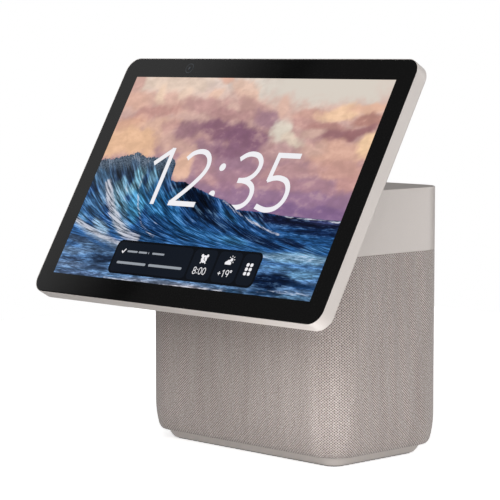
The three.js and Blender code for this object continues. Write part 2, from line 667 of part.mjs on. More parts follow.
addFootAndPlinth();
addFabric();
addCabinet();
addCollar();
addTopCover();
addButtons();
addBoards();
addInlet();
addWoofer();
addTweeters();
addRadiators();
addHingeBracket();
addHingeCowl();
addBaseScrews();
addCables();
addScreenShells();
addScreenStack();
addCamera();
addScreenHinge();

export default root;
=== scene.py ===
import json
import math

import bmesh
import bpy
import numpy as np
from mathutils import Matrix, Vector


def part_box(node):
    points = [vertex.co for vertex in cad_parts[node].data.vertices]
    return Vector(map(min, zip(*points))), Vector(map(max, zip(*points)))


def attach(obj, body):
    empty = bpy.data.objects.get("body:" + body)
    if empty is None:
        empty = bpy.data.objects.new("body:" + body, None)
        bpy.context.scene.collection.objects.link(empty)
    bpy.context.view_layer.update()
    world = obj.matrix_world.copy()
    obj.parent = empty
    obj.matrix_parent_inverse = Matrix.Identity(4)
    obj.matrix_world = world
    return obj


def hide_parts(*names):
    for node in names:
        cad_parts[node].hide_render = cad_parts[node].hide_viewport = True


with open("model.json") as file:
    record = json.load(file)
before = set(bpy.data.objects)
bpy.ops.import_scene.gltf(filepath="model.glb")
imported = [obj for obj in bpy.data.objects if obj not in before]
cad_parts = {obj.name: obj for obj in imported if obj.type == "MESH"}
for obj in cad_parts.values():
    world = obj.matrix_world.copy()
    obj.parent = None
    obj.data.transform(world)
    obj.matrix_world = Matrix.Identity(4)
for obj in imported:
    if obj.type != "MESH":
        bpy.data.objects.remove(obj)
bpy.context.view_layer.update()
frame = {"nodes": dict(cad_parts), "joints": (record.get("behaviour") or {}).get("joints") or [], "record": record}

# ------------------------------------------------------------------ sizes and places
# Lengths are in metres. Places come from the frame, and the sizes below are the looks' own.

MM = 0.001
JOINTS = {joint["name"]: joint for joint in frame["joints"]}

COLLAR_LOW, COLLAR_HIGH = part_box("top_collar")
SLEEVE_LOW, SLEEVE_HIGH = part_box("fabric_sleeve")
BASE_WIDTH = COLLAR_HIGH.x - COLLAR_LOW.x
BASE_DEPTH = COLLAR_HIGH.y - COLLAR_LOW.y
BASE_CORNER = 20 * MM

TILT = math.radians(30)  # how far the screen leans back at rest
HINGE = Vector(JOINTS["screen_tilt"]["pos_m"])
SCREEN = Matrix.Translation(HINGE) @ Matrix.Rotation(-TILT, 4, "X")
SCREEN_WIDTH = 243 * MM
SCREEN_HEIGHT = 162.1 * MM
SCREEN_CORNER = 9.2 * MM
SCREEN_CENTRE = 9.6 * MM  # of the lit area, above the tilt axis
SCREEN_FRONT = 18.6 * MM  # of the glass, before the tilt axis
SCREEN_BACK = 8.0 * MM
SCREEN_SIDE = 8.5 * MM
GLASS_INSET = 0.35 * MM
ACTIVE_WIDTH = 216.96 * MM
ACTIVE_HEIGHT = 135.6 * MM

TROUGH_RADIUS = 9.0 * MM  # of the trough in the collar that the hinge barrel turns in
TROUGH_HALF = 43.3 * MM
BUTTON_RADIUS = 5.6 * MM
BUTTON_HOLE = 5.95 * MM
MICROPHONE_HOLE = 0.7 * MM
CAMERA_PLACE = (-63.5 * MM, 74.1 * MM)  # across and up from the middle of the lit area

WEAVE_ACROSS = 1.886 * MM  # spacing of the fabric's holes along a row
WEAVE_UP = 1.58 * MM  # spacing of every second row


# ------------------------------------------------------------------ node graphs

class Graph:
    """A material's node tree, built by calls that return sockets."""

    def __init__(self, name):
        self.material = bpy.data.materials.new(name)
        self.material.use_nodes = True
        self.nodes = self.material.node_tree.nodes
        self.links = self.material.node_tree.links
        self.shader = self.nodes["Principled BSDF"]

    def feed(self, socket, value):
        if isinstance(value, bpy.types.NodeSocket):
            self.links.new(value, socket)
        elif isinstance(value, (tuple, list)) and len(value) == 3 and socket.type == "RGBA":
            socket.default_value = (*value, 1)
        else:
            socket.default_value = value

    def node(self, kind, settings=(), **inputs):
        made = self.nodes.new(kind)
        for key, value in dict(settings).items():
            setattr(made, key, value)
        for key, value in inputs.items():
            self.feed(made.inputs[key.replace("_", " ")], value)
        return made

    def place(self):
        return self.node("ShaderNodeTexCoord").outputs["Object"]

    def attribute(self, name):
        return self.node("ShaderNodeAttribute", {"attribute_name": name}).outputs["Vector"]

    def math(self, operation, *values, kind="ShaderNodeMath"):
        made = self.node(kind, {"operation": operation})
        for index, value in enumerate(values):
            self.feed(made.inputs[index], value)
        return made.outputs[0]

    def plus(self, a, b):
        return self.math("ADD", a, b)

    def minus(self, a, b):
        return self.math("SUBTRACT", a, b)

    def times(self, a, b):
        return self.math("MULTIPLY", a, b)

    def vector(self, operation, *values):
        return self.math(operation, *values, kind="ShaderNodeVectorMath")

    def stretch(self, vector, factors):
        return self.vector("MULTIPLY", vector, factors)

    def scale(self, vector, factor):
        made = self.node("ShaderNodeVectorMath", {"operation": "SCALE"})
        self.feed(made.inputs[0], vector)
        self.feed(made.inputs["Scale"], factor)
        return made.outputs[0]

    def join(self, x, y, z=0.0):
        return self.node("ShaderNodeCombineXYZ", X=x, Y=y, Z=z).outputs[0]

    def parts(self, vector):
        return self.node("ShaderNodeSeparateXYZ", Vector=vector).outputs

    def noise(self, vector, scale, detail=3.0, roughness=0.5, distortion=0.0):
        made = self.node("ShaderNodeTexNoise", Vector=vector, Scale=scale, Detail=detail,
                         Roughness=roughness, Distortion=distortion)
        return made.outputs["Fac"]

    def ramp(self, fac, stops):
        """Turns a factor into a colour, with stops as (place, colour) pairs."""
        made = self.node("ShaderNodeValToRGB")
        elements = made.color_ramp.elements
        while len(elements) < len(stops):
            elements.new(1.0)
        for element, (place, colour) in zip(elements, stops):
            element.position = place
            element.color = (*colour, 1)
        self.feed(made.inputs[0], fac)
        return made.outputs["Color"]

    def between(self, value, low, high, start=0.0, end=1.0):
        """Eases from start to end as the value goes from low to high."""
        made = self.node("ShaderNodeMapRange", {"interpolation_type": "SMOOTHSTEP"})
        for key, number in (("From Min", low), ("From Max", high), ("To Min", start), ("To Max", end)):
            made.inputs[key].default_value = number
        self.feed(made.inputs["Value"], value)
        return made.outputs["Result"]

    def mix(self, share, a, b):
        made = self.node("ShaderNodeMix", {"data_type": "RGBA"})
        self.feed(made.inputs["Factor"], share)
        self.feed(made.inputs["A"], a)
        self.feed(made.inputs["B"], b)
        return made.outputs["Result"]

    def bump(self, height, distance, strength=1.0):
        made = self.node("ShaderNodeBump", Height=height, Distance=distance, Strength=strength)
        return made.outputs["Normal"]

    def set(self, **inputs):
        for key, value in inputs.items():
            self.feed(self.shader.inputs[key.replace("_", " ")], value)
        return self.material


def srgb(red, green, blue):
    """A display colour, 0 to 255, as linear light."""
    def linear(value):
        share = value / 255
        return share / 12.92 if share <= 0.04045 else ((share + 0.055) / 1.055) ** 2.4
    return linear(red), linear(green), linear(blue)


def shade(colour, factor):
    return tuple(min(part * factor, 1.0) for part in colour)


# ------------------------------------------------------------------ materials

def plastic(name, colour, roughness):
    """Moulded plastic with a fine spark-eroded texture and faint flow marks."""
    graph = Graph(name)
    place = graph.place()
    fine = graph.noise(place, 2600, 2, 0.6)
    broad = graph.noise(place, 14, 3, 0.5)
    tone = graph.ramp(broad, [(0.3, shade(colour, 0.965)), (0.7, shade(colour, 1.035))])
    speckled = graph.mix(graph.between(fine, 0.35, 0.75), tone, graph.mix(0.06, tone, (0, 0, 0)))
    rough = graph.between(graph.noise(place, 900, 2), 0.2, 0.8, roughness - 0.06, roughness + 0.06)
    return graph.set(Base_Color=speckled, Roughness=rough, Normal=graph.bump(fine, 0.012 * MM))


def metal(name, colour, roughness=0.32, along=(1, 0, 0)):
    """Rolled or turned metal with fine lines along one axis."""
    graph = Graph(name)
    stretch = tuple(60 if part else 4200 for part in along)
    lines = graph.noise(graph.stretch(graph.place(), stretch), 1.0, 3, 0.6)
    blotch = graph.noise(graph.place(), 90, 3)
    tone = graph.mix(graph.between(blotch, 0.3, 0.7), shade(colour, 0.86), colour)
    rough = graph.between(lines, 0.25, 0.75, roughness - 0.08, roughness + 0.1)
    return graph.set(Metallic=1.0, Base_Color=tone, Roughness=rough, Normal=graph.bump(lines, 0.01 * MM))


def rubber_material():
    graph = Graph("rubber")
    place = graph.place()
    grain = graph.noise(place, 1500, 3, 0.6)
    dust = graph.noise(place, 60, 4, 0.6)
    tone = graph.ramp(dust, [(0.35, (0.018, 0.017, 0.016)), (0.7, (0.035, 0.033, 0.031))])
    return graph.set(Base_Color=tone, Roughness=graph.between(grain, 0.2, 0.8, 0.7, 0.9),
                     Normal=graph.bump(grain, 0.03 * MM))


def board_material():
    """Green solder mask with copper traces showing faintly through."""
    graph = Graph("circuit_board")
    place = graph.place()
    traces = graph.node("ShaderNodeTexBrick", Vector=place, Scale=180.0, Mortar_Size=0.12).outputs["Fac"]
    grain = graph.noise(place, 700, 3)
    tone = graph.mix(traces, (0.012, 0.09, 0.045), (0.03, 0.16, 0.07))
    tone = graph.mix(graph.times(grain, 0.3), tone, (0.01, 0.05, 0.03))
    return graph.set(Base_Color=tone, Roughness=graph.between(grain, 0.2, 0.8, 0.3, 0.45),
                     Normal=graph.bump(traces, 0.02 * MM))


def felt_material(name, colour):
    """Pressed paper pulp, as on a loudspeaker's cone."""
    graph = Graph(name)
    fibres = graph.noise(graph.place(), 1100, 5, 0.7, 1.5)
    tone = graph.mix(graph.between(fibres, 0.3, 0.7), shade(colour, 0.7), shade(colour, 1.3))
    return graph.set(Base_Color=tone, Roughness=graph.between(fibres, 0.3, 0.7, 0.75, 0.95),
                     Normal=graph.bump(fibres, 0.08 * MM))


def film_material():
    """Amber cable film over copper lines."""
    graph = Graph("cable_film")
    across = graph.parts(graph.place())["X"]
    lines = graph.math("SINE", graph.times(across, 2 * math.pi / (0.8 * MM)))
    grain = graph.noise(graph.place(), 500, 2)
    tone = graph.mix(graph.between(lines, -0.2, 0.4), (0.26, 0.12, 0.03), (0.42, 0.21, 0.06))
    return graph.set(Base_Color=tone, Roughness=graph.between(grain, 0.2, 0.8, 0.3, 0.45),
                     Normal=graph.bump(lines, 0.02 * MM))


def lens_material():
    graph = Graph("lens")
    depth = graph.noise(graph.place(), 400, 2)
    tone = graph.mix(depth, (0.004, 0.012, 0.016), (0.012, 0.02, 0.035))
    return graph.set(Coat_Weight=1.0, Coat_Roughness=0.02, Base_Color=tone,
                     Roughness=graph.between(depth, 0.2, 0.8, 0.05, 0.12))


def glass_material():
    """Black-printed cover glass: a polished face over ink with a very fine unevenness."""
    graph = Graph("black_glass")
    place = graph.place()
    ink = graph.noise(place, 800, 2)
    smear = graph.noise(graph.stretch(place, (1, 1.6, 1.6)), 18, 4, 0.6)
    tone = graph.mix(ink, (0.0044, 0.0044, 0.0046), (0.0058, 0.0058, 0.0058))
    return graph.set(Base_Color=tone, Roughness=graph.between(smear, 0.3, 0.7, 0.05, 0.09))


def fabric_material():
    """Open knit of taupe melange yarn: staggered holes between light, twisted strands. The holes are sunk in the
    bump and painted dark, a painted shade for the openings.
    """
    graph = Graph("woven_fabric")
    weave = graph.attribute("weave")

    def field(across, up, detail, roughness=0.5, scale=1.0):
        return graph.noise(graph.stretch(weave, (across, up, 1)), scale, detail, roughness)

    warped = graph.vector("ADD", weave, graph.join(graph.times(field(0.35, 0.35, 2), 0.10), 0.0))
    across, up, _ = graph.parts(warped)
    wave = graph.times(*[graph.math("COSINE", graph.times(way, 2 * math.pi)) for way in (across, up)])
    fibre = field(3.0, 7.0, 3, 0.7)
    strand = field(1.0, 2.0, 2, 0.6, 1.3)
    # the hole mask sinks the bump and also carries the painted shade of the holes
    hole_and_painted_shade = graph.between(graph.plus(wave, graph.times(graph.minus(strand, 0.5), 0.9)), 0.05, 0.62)
    streak = field(0.22, 0.022, 4, 0.65)
    blotch = field(0.02, 0.02, 2)
    yarn = graph.ramp(strand, [(0.28, srgb(144, 133, 128)), (0.5, srgb(204, 193, 188)),
                               (0.72, srgb(244, 237, 233))])
    yarn = graph.mix(graph.between(fibre, 0.35, 0.65, 0.0, 0.4), yarn, srgb(128, 115, 110))
    yarn = graph.mix(graph.between(streak, 0.3, 0.7, 0.0, 0.25), yarn, srgb(142, 128, 123))
    yarn = graph.mix(graph.between(blotch, 0.3, 0.7, 0.0, 0.08), yarn, srgb(150, 138, 128))
    # painted shade: each hole is darkened towards a deep brown, standing in for the shade inside it
    colour = graph.mix(graph.times(hole_and_painted_shade, 0.92), yarn, srgb(50, 42, 40))
    height = graph.minus(graph.times(fibre, 0.25), hole_and_painted_shade)
    rough = graph.between(fibre, 0.2, 0.8, 0.85, 0.97)
    return graph.set(Sheen_Weight=0.35, Sheen_Roughness=0.4, Specular_IOR_Level=0.2, Base_Color=colour,
                     Roughness=rough, Normal=graph.bump(height, 0.22 * MM, 0.8))


def glowing(graph, colour):
    """Lets a material shine with a colour, under the same polished glass as the border."""
    grain = graph.noise(graph.place(), 3000, 1)
    return graph.set(Emission_Strength=1.0, Specular_IOR_Level=0.15, Base_Color=(0.002, 0.002, 0.002),
                     Emission_Color=colour, Roughness=graph.between(grain, 0.2, 0.8, 0.06, 0.09))


def lit(name, colour):
    """A lit mark on the display."""
    graph = Graph(name)
    grain = graph.noise(graph.place(), 3000, 1)
    return glowing(graph, graph.mix(graph.times(grain, 0.05), colour, shade(colour, 0.8)))


# ------------------------------------------------------------------ meshes

HOLD = 0.5 * MM  # distance from a rounding at which a flat face is already flat
TOUCHING = 1e-7  # points closer than this are one


def new_object(name, data):
    """An object in the scene."""
    made = bpy.data.objects.new(name, data)
    bpy.context.scene.collection.objects.link(made)
    return made


def new_mesh(name, verts, faces):
    mesh = bpy.data.meshes.new(name)
    mesh.from_pydata([tuple(v) for v in verts], [], faces)
    return mesh


def mesh_from(name, made):
    """Turns a bmesh into a mesh."""
    mesh = bpy.data.meshes.new(name)
    made.to_mesh(mesh)
    made.free()
    return mesh


def cleaned(mesh, weld=False, dissolve=False, outwards=False):
    """Joins doubled points, drops empty faces or turns all faces outwards, as asked."""
    made = bmesh.new()
    made.from_mesh(mesh)
    if weld:
        bmesh.ops.remove_doubles(made, verts=made.verts, dist=TOUCHING)
    if dissolve:
        bmesh.ops.dissolve_degenerate(made, edges=made.edges, dist=TOUCHING)
    if outwards:
        bmesh.ops.recalc_face_normals(made, faces=made.faces)
    made.to_mesh(mesh)
    made.free()
    return mesh


def outline(width, depth, radius, corner_steps=14, side_steps=(1, 1)):
    """Points of a rounded rectangle, anticlockwise, as an array of (x, y)."""
    corners = [(1, 1), (-1, 1), (-1, -1), (1, -1)]

    def on_corner(index, turns):
        sx, sy = corners[index % 4]
        angle = turns * math.pi / 2
        return (sx * (width / 2 - radius) + radius * math.cos(angle),
                sy * (depth / 2 - radius) + radius * math.sin(angle))

    points = []
    for index in range(4):
        points += [on_corner(index, index + step / corner_steps) for step in range(corner_steps + 1)]
        start, end = Vector(points[-1]), Vector(on_corner(index + 1, index + 1))
        length = (end - start).length
        count = side_steps[index % 2]
        shares = {step / count for step in range(1, count)}
        if length > 4 * HOLD:
            shares |= {HOLD / length, 1 - HOLD / length}
        points += [tuple(start.lerp(end, share)) for share in sorted(shares)]
    return np.array(points)


def rings_of(width, depth, radius, profile, corner_steps=14, side_steps=(1, 1)):
    """One ring of (x, y, height) for each (height, inset) of the profile."""
    rings = []
    for height, inset in profile:
        corner = max(radius - inset, 0.15 * MM)
        flat = outline(width - 2 * inset, depth - 2 * inset, corner, corner_steps, side_steps)
        rings.append(np.column_stack([flat, np.full(len(flat), height)]))
    return rings


def quarter(height, inset, rise, run, steps=5):
    """Profile points that round an edge, from (height, inset) through a quarter turn of the given size."""
    return [(height + rise * math.sin(a), inset + run * (1 - math.cos(a)))
            for a in np.linspace(0, math.pi / 2, steps + 1)]


def steps_from(height, *points):
    """Profile points given in millimetres: each one's rise above a height, and its inset."""
    return [(height + rise * MM, inset * MM) for rise, inset in points]


def loft_mesh(name, rings, cap_first=True, cap_last=True):
    count = len(rings[0])
    verts = np.concatenate(rings)
    faces = []
    for ring in range(len(rings) - 1):
        for i in range(count):
            a, b = ring * count + i, ring * count + (i + 1) % count
            faces.append((a, b, b + count, a + count))
    if cap_first:
        faces.append(tuple(range(count - 1, -1, -1)))
    if cap_last:
        last = (len(rings) - 1) * count
        faces.append(tuple(range(last, last + count)))
    return new_mesh(name, verts, faces)


def lathe_mesh(name, profile, sides=64):
    """A turned part: profile is (radius, height) points, first and last on the axis or meeting."""
    count = len(profile)
    verts, faces = [], []
    for side in range(sides):
        angle = 2 * math.pi * side / sides
        verts += [(r * math.cos(angle), r * math.sin(angle), h) for r, h in profile]
        here, there = side * count, (side + 1) % sides * count
        faces += [(here + i, there + i, there + i + 1, here + i + 1) for i in range(count - 1)]
    return cleaned(new_mesh(name, verts, faces), weld=True, dissolve=True, outwards=True)


def add(name, mesh, material, body, replaces=(), place=None, smooth=35):
    """Puts a mesh in the scene as a finished piece that rides on a body."""
    if place is not None:
        mesh.transform(place)
    mesh.validate()
    mesh.materials.clear()
    mesh.materials.append(material)
    mesh.polygons.foreach_set("use_smooth", [True] * len(mesh.polygons))
    mesh.set_sharp_from_angle(angle=math.radians(smooth))
    piece = new_object(name, mesh)
    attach(piece, body)
    if replaces:
        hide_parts(*replaces)


def cut_mesh(mesh, *tools):
    """Cuts each tool mesh out of the mesh, and returns the result as a new mesh."""
    body = new_object("cut_body", mesh)
    helpers = [new_object("cut_tool", tool) for tool in tools]
    for helper in helpers:
        modifier = body.modifiers.new("cut", "BOOLEAN")
        modifier.operation = "DIFFERENCE"
        modifier.solver = "EXACT"
        modifier.object = helper
    graph = bpy.context.evaluated_depsgraph_get()
    result = bpy.data.meshes.new_from_object(body.evaluated_get(graph))
    result.name = mesh.name
    for item in [body, *helpers]:
        bpy.data.objects.remove(item)
    return result


def rod_mesh(radius, start, end, sides=64):
    """A plain round tool for cutting, from start to end."""
    start, way = Vector(start), Vector(end) - Vector(start)
    mesh = lathe_mesh("rod", [(0, 0), (radius, 0), (radius, way.length), (0, way.length)], sides)
    mesh.transform(Matrix.Translation(start) @ way.to_track_quat("Z", "Y").to_matrix().to_4x4())
    return mesh


# ------------------------------------------------------------------ base

def fabric_profile():
    """(height, inset) of the sleeve's face, from the turned-in foot to the collar."""
    taper_top, taper_height, taper_inset, power = 26.6, 18.5, 2.3, 2.3
    low, high = SLEEVE_LOW.z / MM, SLEEVE_HIGH.z / MM
    foot = [(low + rise, inset)
            for rise, inset in ((0.35, 8.0), (0, 6.4), (0, 4.9), (0.25, 3.9), (0.9, 3.15), (1.7, 2.65))]
    straight = np.linspace(taper_top, high - 0.5, 46)[1:]
    heights = np.concatenate([np.linspace(low + 2.6, taper_top, 14), straight])
    side = [(h, taper_inset * max(0.0, (taper_top - h) / taper_height) ** power) for h in heights]
    seam = COLLAR_LOW.z / MM - 0.04
    tuck = [(seam - 0.2, 0.05), (seam, 0.25), (seam, 0.95), (high - 1.0, 1.0)]
    return [(h * MM, inset * MM) for h, inset in foot + side + tuck]


def make_fabric():
    """The knitted sleeve, which carries its weave's coordinates, with a window for the power inlet."""
    side_steps = (68, 34)
    profile = fabric_profile()
    rings = rings_of(BASE_WIDTH, BASE_DEPTH, BASE_CORNER, profile, 16, side_steps)
    around = outline(BASE_WIDTH, BASE_DEPTH, BASE_CORNER, 16, side_steps)
    steps = np.hypot(*np.diff(np.vstack([around, around[:1]]), axis=0).T)
    length = steps.sum()
    columns = round(length / WEAVE_ACROSS)
    along = np.concatenate([[0], np.cumsum(steps)])[:-1] / length * columns
    climbs = [0.0]
    for (h0, i0), (h1, i1) in zip(profile, profile[1:]):
        climbs.append(climbs[-1] + math.hypot(h1 - h0, i1 - i0) / WEAVE_UP)
    # the seam column is doubled, so that the weave's count doesn't run backwards across the last face
    rings = [np.vstack([ring, ring[:1]]) for ring in rings]
    along = np.append(along, columns)
    count = len(along)
    verts = np.concatenate(rings)
    faces = [(r * count + i, r * count + i + 1, (r + 1) * count + i + 1, (r + 1) * count + i)
             for r in range(len(rings) - 1) for i in range(count - 1)]
    low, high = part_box("power_bezel")
    margin = 2 * MM
    middles = verts[np.array(faces)].mean(axis=1)
    inside = ((middles[:, 1] > 0.4 * BASE_DEPTH) & (np.abs(middles[:, 0]) < high.x - margin)
              & (middles[:, 2] > low.z + margin) & (middles[:, 2] < high.z - margin))
    faces = [face for face, gone in zip(faces, inside) if not gone]
    mesh = new_mesh("fabric_cover", verts, faces)
    weave = np.zeros((len(verts), 3), np.float32)
    weave[:, 0] = np.tile(along, len(rings))
    weave[:, 1] = np.repeat(climbs, count)
    mesh.attributes.new("weave", "FLOAT_VECTOR", "POINT").data.foreach_set("vector", weave.ravel())
    add("fabric_cover", mesh, fabric_material(), "base", ["fabric_sleeve"], smooth=60)


def base_loft(name, profile, capped=True):
    """A piece with the base's plan, lofted through a profile of (height, inset)."""
    rings = rings_of(BASE_WIDTH, BASE_DEPTH, BASE_CORNER, profile, 18)
    return loft_mesh(name, rings, capped, capped)


def make_collar(finish):
    low, high = COLLAR_LOW.z, COLLAR_HIGH.z
    edge, lip, seat = 0.35, 0.7, 2.6
    profile = steps_from(low, (0.6, 2.4), (0, 2.2), (0, 0.2), (0.06, 0.06), (0.4, 0), (0.9, 0))
    profile += steps_from(high, (-edge - HOLD / MM, 0))
    profile += quarter(high - edge * MM, 0, edge * MM, edge * MM)
    profile += steps_from(high, (0, lip - 0.12), (-0.1, lip), (-seat, lip), (-seat, 5), (-seat - 2, 5),
                          (-seat - 2, 2.4))
    profile += steps_from(low, (0.6, 2.4))
    shell = cleaned(base_loft("collar", profile, False), weld=True)
    reach = Vector((TROUGH_HALF, 0, 0))
    trough = rod_mesh(TROUGH_RADIUS, HINGE - reach, HINGE + reach, 96)
    add("collar", cut_mesh(shell, trough), finish, "base", ["top_collar"])


def make_top(finish):
    low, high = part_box("top_cover")
    width, depth = high.x - low.x, high.y - low.y
    bottom, top, edge = high.z - 2.0 * MM, high.z, 0.25 * MM
    profile = steps_from(bottom, (0, 0.1), (0.1, 0))
    profile += [*quarter(top - edge, 0, edge, edge, 4), (top, edge + HOLD)]
    plate = loft_mesh("top_plate", rings_of(width, depth, BASE_CORNER - 0.9 * MM, profile, 18))
    holes = [(BUTTON_HOLE, *button_middle(name).xy, 64) for name in BUTTONS]
    holes += [(MICROPHONE_HOLE, x, y, 24) for x, y in MICROPHONES]
    tools = [rod_mesh(radius, (x, y, bottom - 1 * MM), (x, y, top + 1 * MM), sides)
             for radius, x, y, sides in holes]
    add("top_plate", cut_mesh(plate, *tools), finish, "base", ["top_cover"])


BUTTONS = ["volume_down", "volume_up", "action", "microphone"]
MICROPHONES = [(-70 * MM, 0), (70 * MM, 0), (0, 38 * MM), (0, -36 * MM)]


def button_middle(name):
    low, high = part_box("button_" + name)
    return Vector(((low.x + high.x) / 2, (low.y + high.y) / 2, high.z))


def make_buttons(finish, mark):
    """Round caps with a shallow dish, and a raised mark on each."""
    radius, edge, dish = BUTTON_RADIUS, 0.35 * MM, 0.22 * MM
    skirt, stem, underside = radius + 1.2 * MM, 1.6 * MM, -3.4 * MM
    for name in BUTTONS:
        body = "button_" + name
        top = button_middle(name)
        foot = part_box(body)[0].z - top.z
        profile = [(0, foot), (stem, foot), (stem, underside), (skirt, underside)]
        profile += [(skirt, underside + 0.9 * MM), (radius, underside + 0.9 * MM)]
        profile += [(radius - edge * (1 - math.cos(a)), -edge + edge * math.sin(a))
                    for a in np.linspace(0, math.pi / 2, 6)]
        profile += [(r, -dish * (1 - (r / (radius - edge)) ** 2))
                    for r in np.linspace(radius - edge, 0, 9)[1:]]
        cap = lathe_mesh(body + "_cap", profile, 64)
        add(body + "_cap", cap, finish, body, [body], Matrix.Translation(top))
        add(body + "_mark", mark_mesh(name), mark, body,
            place=Matrix.Translation(top - Vector((0, 0, dish))))


def mark_mesh(name):
    """The raised mark on a button: minus, plus, ring or microphone."""
    thick, height = 0.42 * MM, 0.16 * MM
    bar = [(-1.7, 0), (1.7, 0)]
    lines = {
        "volume_down": [bar],
        "volume_up": [bar, [(0, -1.7), (0, 1.7)]],
        "action": [arc(0, 0, 1.7, 0, 360, 40)],
        "microphone": [[(0, -1.9), (0, -1.1)], [(-0.9, -1.9), (0.9, -1.9)],
                       [*arc(0, 1.0, 0.7, 0, 180, 12), *arc(0, 0.3, 0.7, 180, 360, 12), (0.7, 1.0)],
                       arc(0, 0.25, 1.35, 180, 360, 16)],
    }[name]
    made = bmesh.new()
    for line in lines:
        ribbon(made, [(x * MM, y * MM) for x, y in line], thick, height)
    return mesh_from("mark", made)


def arc(x, y, radius, start, end, steps, squash=1.0):
    """Points of an arc, in degrees anticlockwise from +x."""
    angles = np.radians(np.linspace(start, end, steps + 1))
    return [(x + radius * math.cos(a), y + radius * squash * math.sin(a)) for a in angles]


def ribbon(made, line, width, height):
    """Adds a flat-topped stroke along a plane line to a bmesh. Joints are mitred."""
    closed = line[0] == line[-1]
    points = [Vector(point) for point in (line[:-1] if closed else line)]
    count = len(points)
    left, right = [], []
    for i, point in enumerate(points):
        before = points[i - 1] if closed or i > 0 else None
        after = points[(i + 1) % count] if closed or i < count - 1 else None
        ways = [(point - before).normalized()] if before is not None else []
        ways += [(after - point).normalized()] if after is not None else []
        way = sum(ways, Vector((0, 0))).normalized()
        side = Vector((-way.y, way.x))
        reach = width / 2 / max(abs(side.dot(Vector((-ways[0].y, ways[0].x)))), 0.4)
        left.append(point + side * reach)
        right.append(point - side * reach)
    rows = []
    for a, b in zip(left, right):
        corners = ((a, 0), (a, height), (b, height), (b, 0))
        rows.append([made.verts.new((*point, z)) for point, z in corners])
    for i in range(count if closed else count - 1):
        here, there = rows[i], rows[(i + 1) % count]
        for k in range(4):
            made.faces.new((here[k], there[k], there[(k + 1) % 4], here[(k + 1) % 4]))
    if not closed:
        made.faces.new(rows[0])
        made.faces.new(rows[-1][::-1])


def make_plinth(finish):
    bottom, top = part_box("bottom_plate")[0].z, SLEEVE_LOW.z + 0.1 * MM

    def slope(rise):
        return rise, 11.2 - 3.6 * rise / 5.3

    profile = steps_from(bottom, (0, 14.5), (0, 12.3), (0.1, 11.9), (0.4, 11.35), (0.9, 10.85), (1.6, 10.2),
                         slope(3.0), slope((top - bottom) / MM))
    profile += steps_from(top, (1.5, 8.6))
    add("plinth", base_loft("plinth", profile), finish, "base", ["bottom_plate"])


def make_foot(finish):
    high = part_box("foot_pad")[1]
    inset, edge = BASE_WIDTH / 2 - high.x, 0.3 * MM
    profile = [*quarter(0.0, inset + edge, edge, -edge, 4), (high.z, inset)]
    add("rubber_foot", base_loft("rubber_foot", profile), finish, "base", ["foot_pad"])


def make_inlet(finish):
    """The recess at the back for the power lead."""
    low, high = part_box("power_bezel")
    size = (high - low) / MM
    inner, edge = 4.8, 0.45
    profile = steps_from(0, (-size.y, inner - 2), (-1, inner - 2), (-0.95, 0.3), (-0.7, 0.05))
    profile += quarter(-0.6 * MM, 0, 0.6 * MM, edge * MM, 5)
    profile += steps_from(0, (0, inner - edge), (-0.04, inner - edge + 0.22), (-0.2, inner - edge + 0.4),
                          (-0.45, inner), (-size.y + 2.4, inner), (-size.y + 2, inner + 0.4))
    cup = loft_mesh("power_recess", rings_of(size.x * MM, size.z * MM, 7.5 * MM, profile, 10))
    socket_hole = rod_mesh(4.3 * MM, (0, 0, -20 * MM), (0, 0, -4 * MM), 48)
    place = Matrix.Translation((0, high.y, (low.z + high.z) / 2)) @ Matrix.Rotation(-math.pi / 2, 4, "X")
    add("power_recess", cut_mesh(cup, socket_hole), finish, "base", ["power_bezel"], place)


# ------------------------------------------------------------------ screen

def screen_place():
    """From a flat piece drawn in (across, up, out of the glass) to where the screen is."""
    return SCREEN @ Matrix(((1, 0, 0, 0), (0, 0, -1, 0), (0, 1, 0, SCREEN_CENTRE), (0, 0, 0, 1)))


def make_housing(finish):
    front, edge = SCREEN_FRONT, 0.14 * MM
    side_back = front - SCREEN_SIDE
    groove = GLASS_INSET / MM
    profile = steps_from(SCREEN_BACK, (0, 9), (0, 8), (0.03, 6.2), (0.2, 4.2), (0.55, 2.5), (1.1, 1.15),
                         (1.6, 0.4))
    profile += steps_from(side_back, (0.05, 0.08), (0.5, 0), (1.0, 0))
    profile += [(front - edge - HOLD, 0), *quarter(front - edge, 0, edge, edge, 4)]
    profile += steps_from(front, (0, groove - 0.1), (-0.1, groove - 0.05), (-1.2, groove - 0.05), (-1.2, 3))
    rings = rings_of(SCREEN_WIDTH, SCREEN_HEIGHT, SCREEN_CORNER, profile, 16)
    add("rear_housing", loft_mesh("rear_housing", rings), finish, "screen",
        ["screen_housing"], screen_place())


def make_glass(finish):
    """The black border of the cover glass, open where the lit area shows."""
    width, height = SCREEN_WIDTH - 2 * GLASS_INSET, SCREEN_HEIGHT - 2 * GLASS_INSET
    edge = 0.2 * MM
    profile = [(SCREEN_FRONT - 1.0 * MM, 0.05 * MM), *quarter(SCREEN_FRONT - edge, 0, edge, edge, 4),
               (SCREEN_FRONT, edge + HOLD)]
    outer = rings_of(width, height, SCREEN_CORNER - GLASS_INSET, profile, 16)
    last = outer[-1]
    inner = last.copy()
    half = np.array([ACTIVE_WIDTH / 2, ACTIVE_HEIGHT / 2])
    inner[:, :2] = np.clip(last[:, :2], -half, half)
    below = inner.copy()
    below[:, 2] -= 0.9 * MM
    mesh = cleaned(loft_mesh("glass_border", [*outer, inner, below], True, False), weld=True)
    add("glass_border", mesh, finish, "screen", ["cover_glass"], screen_place())


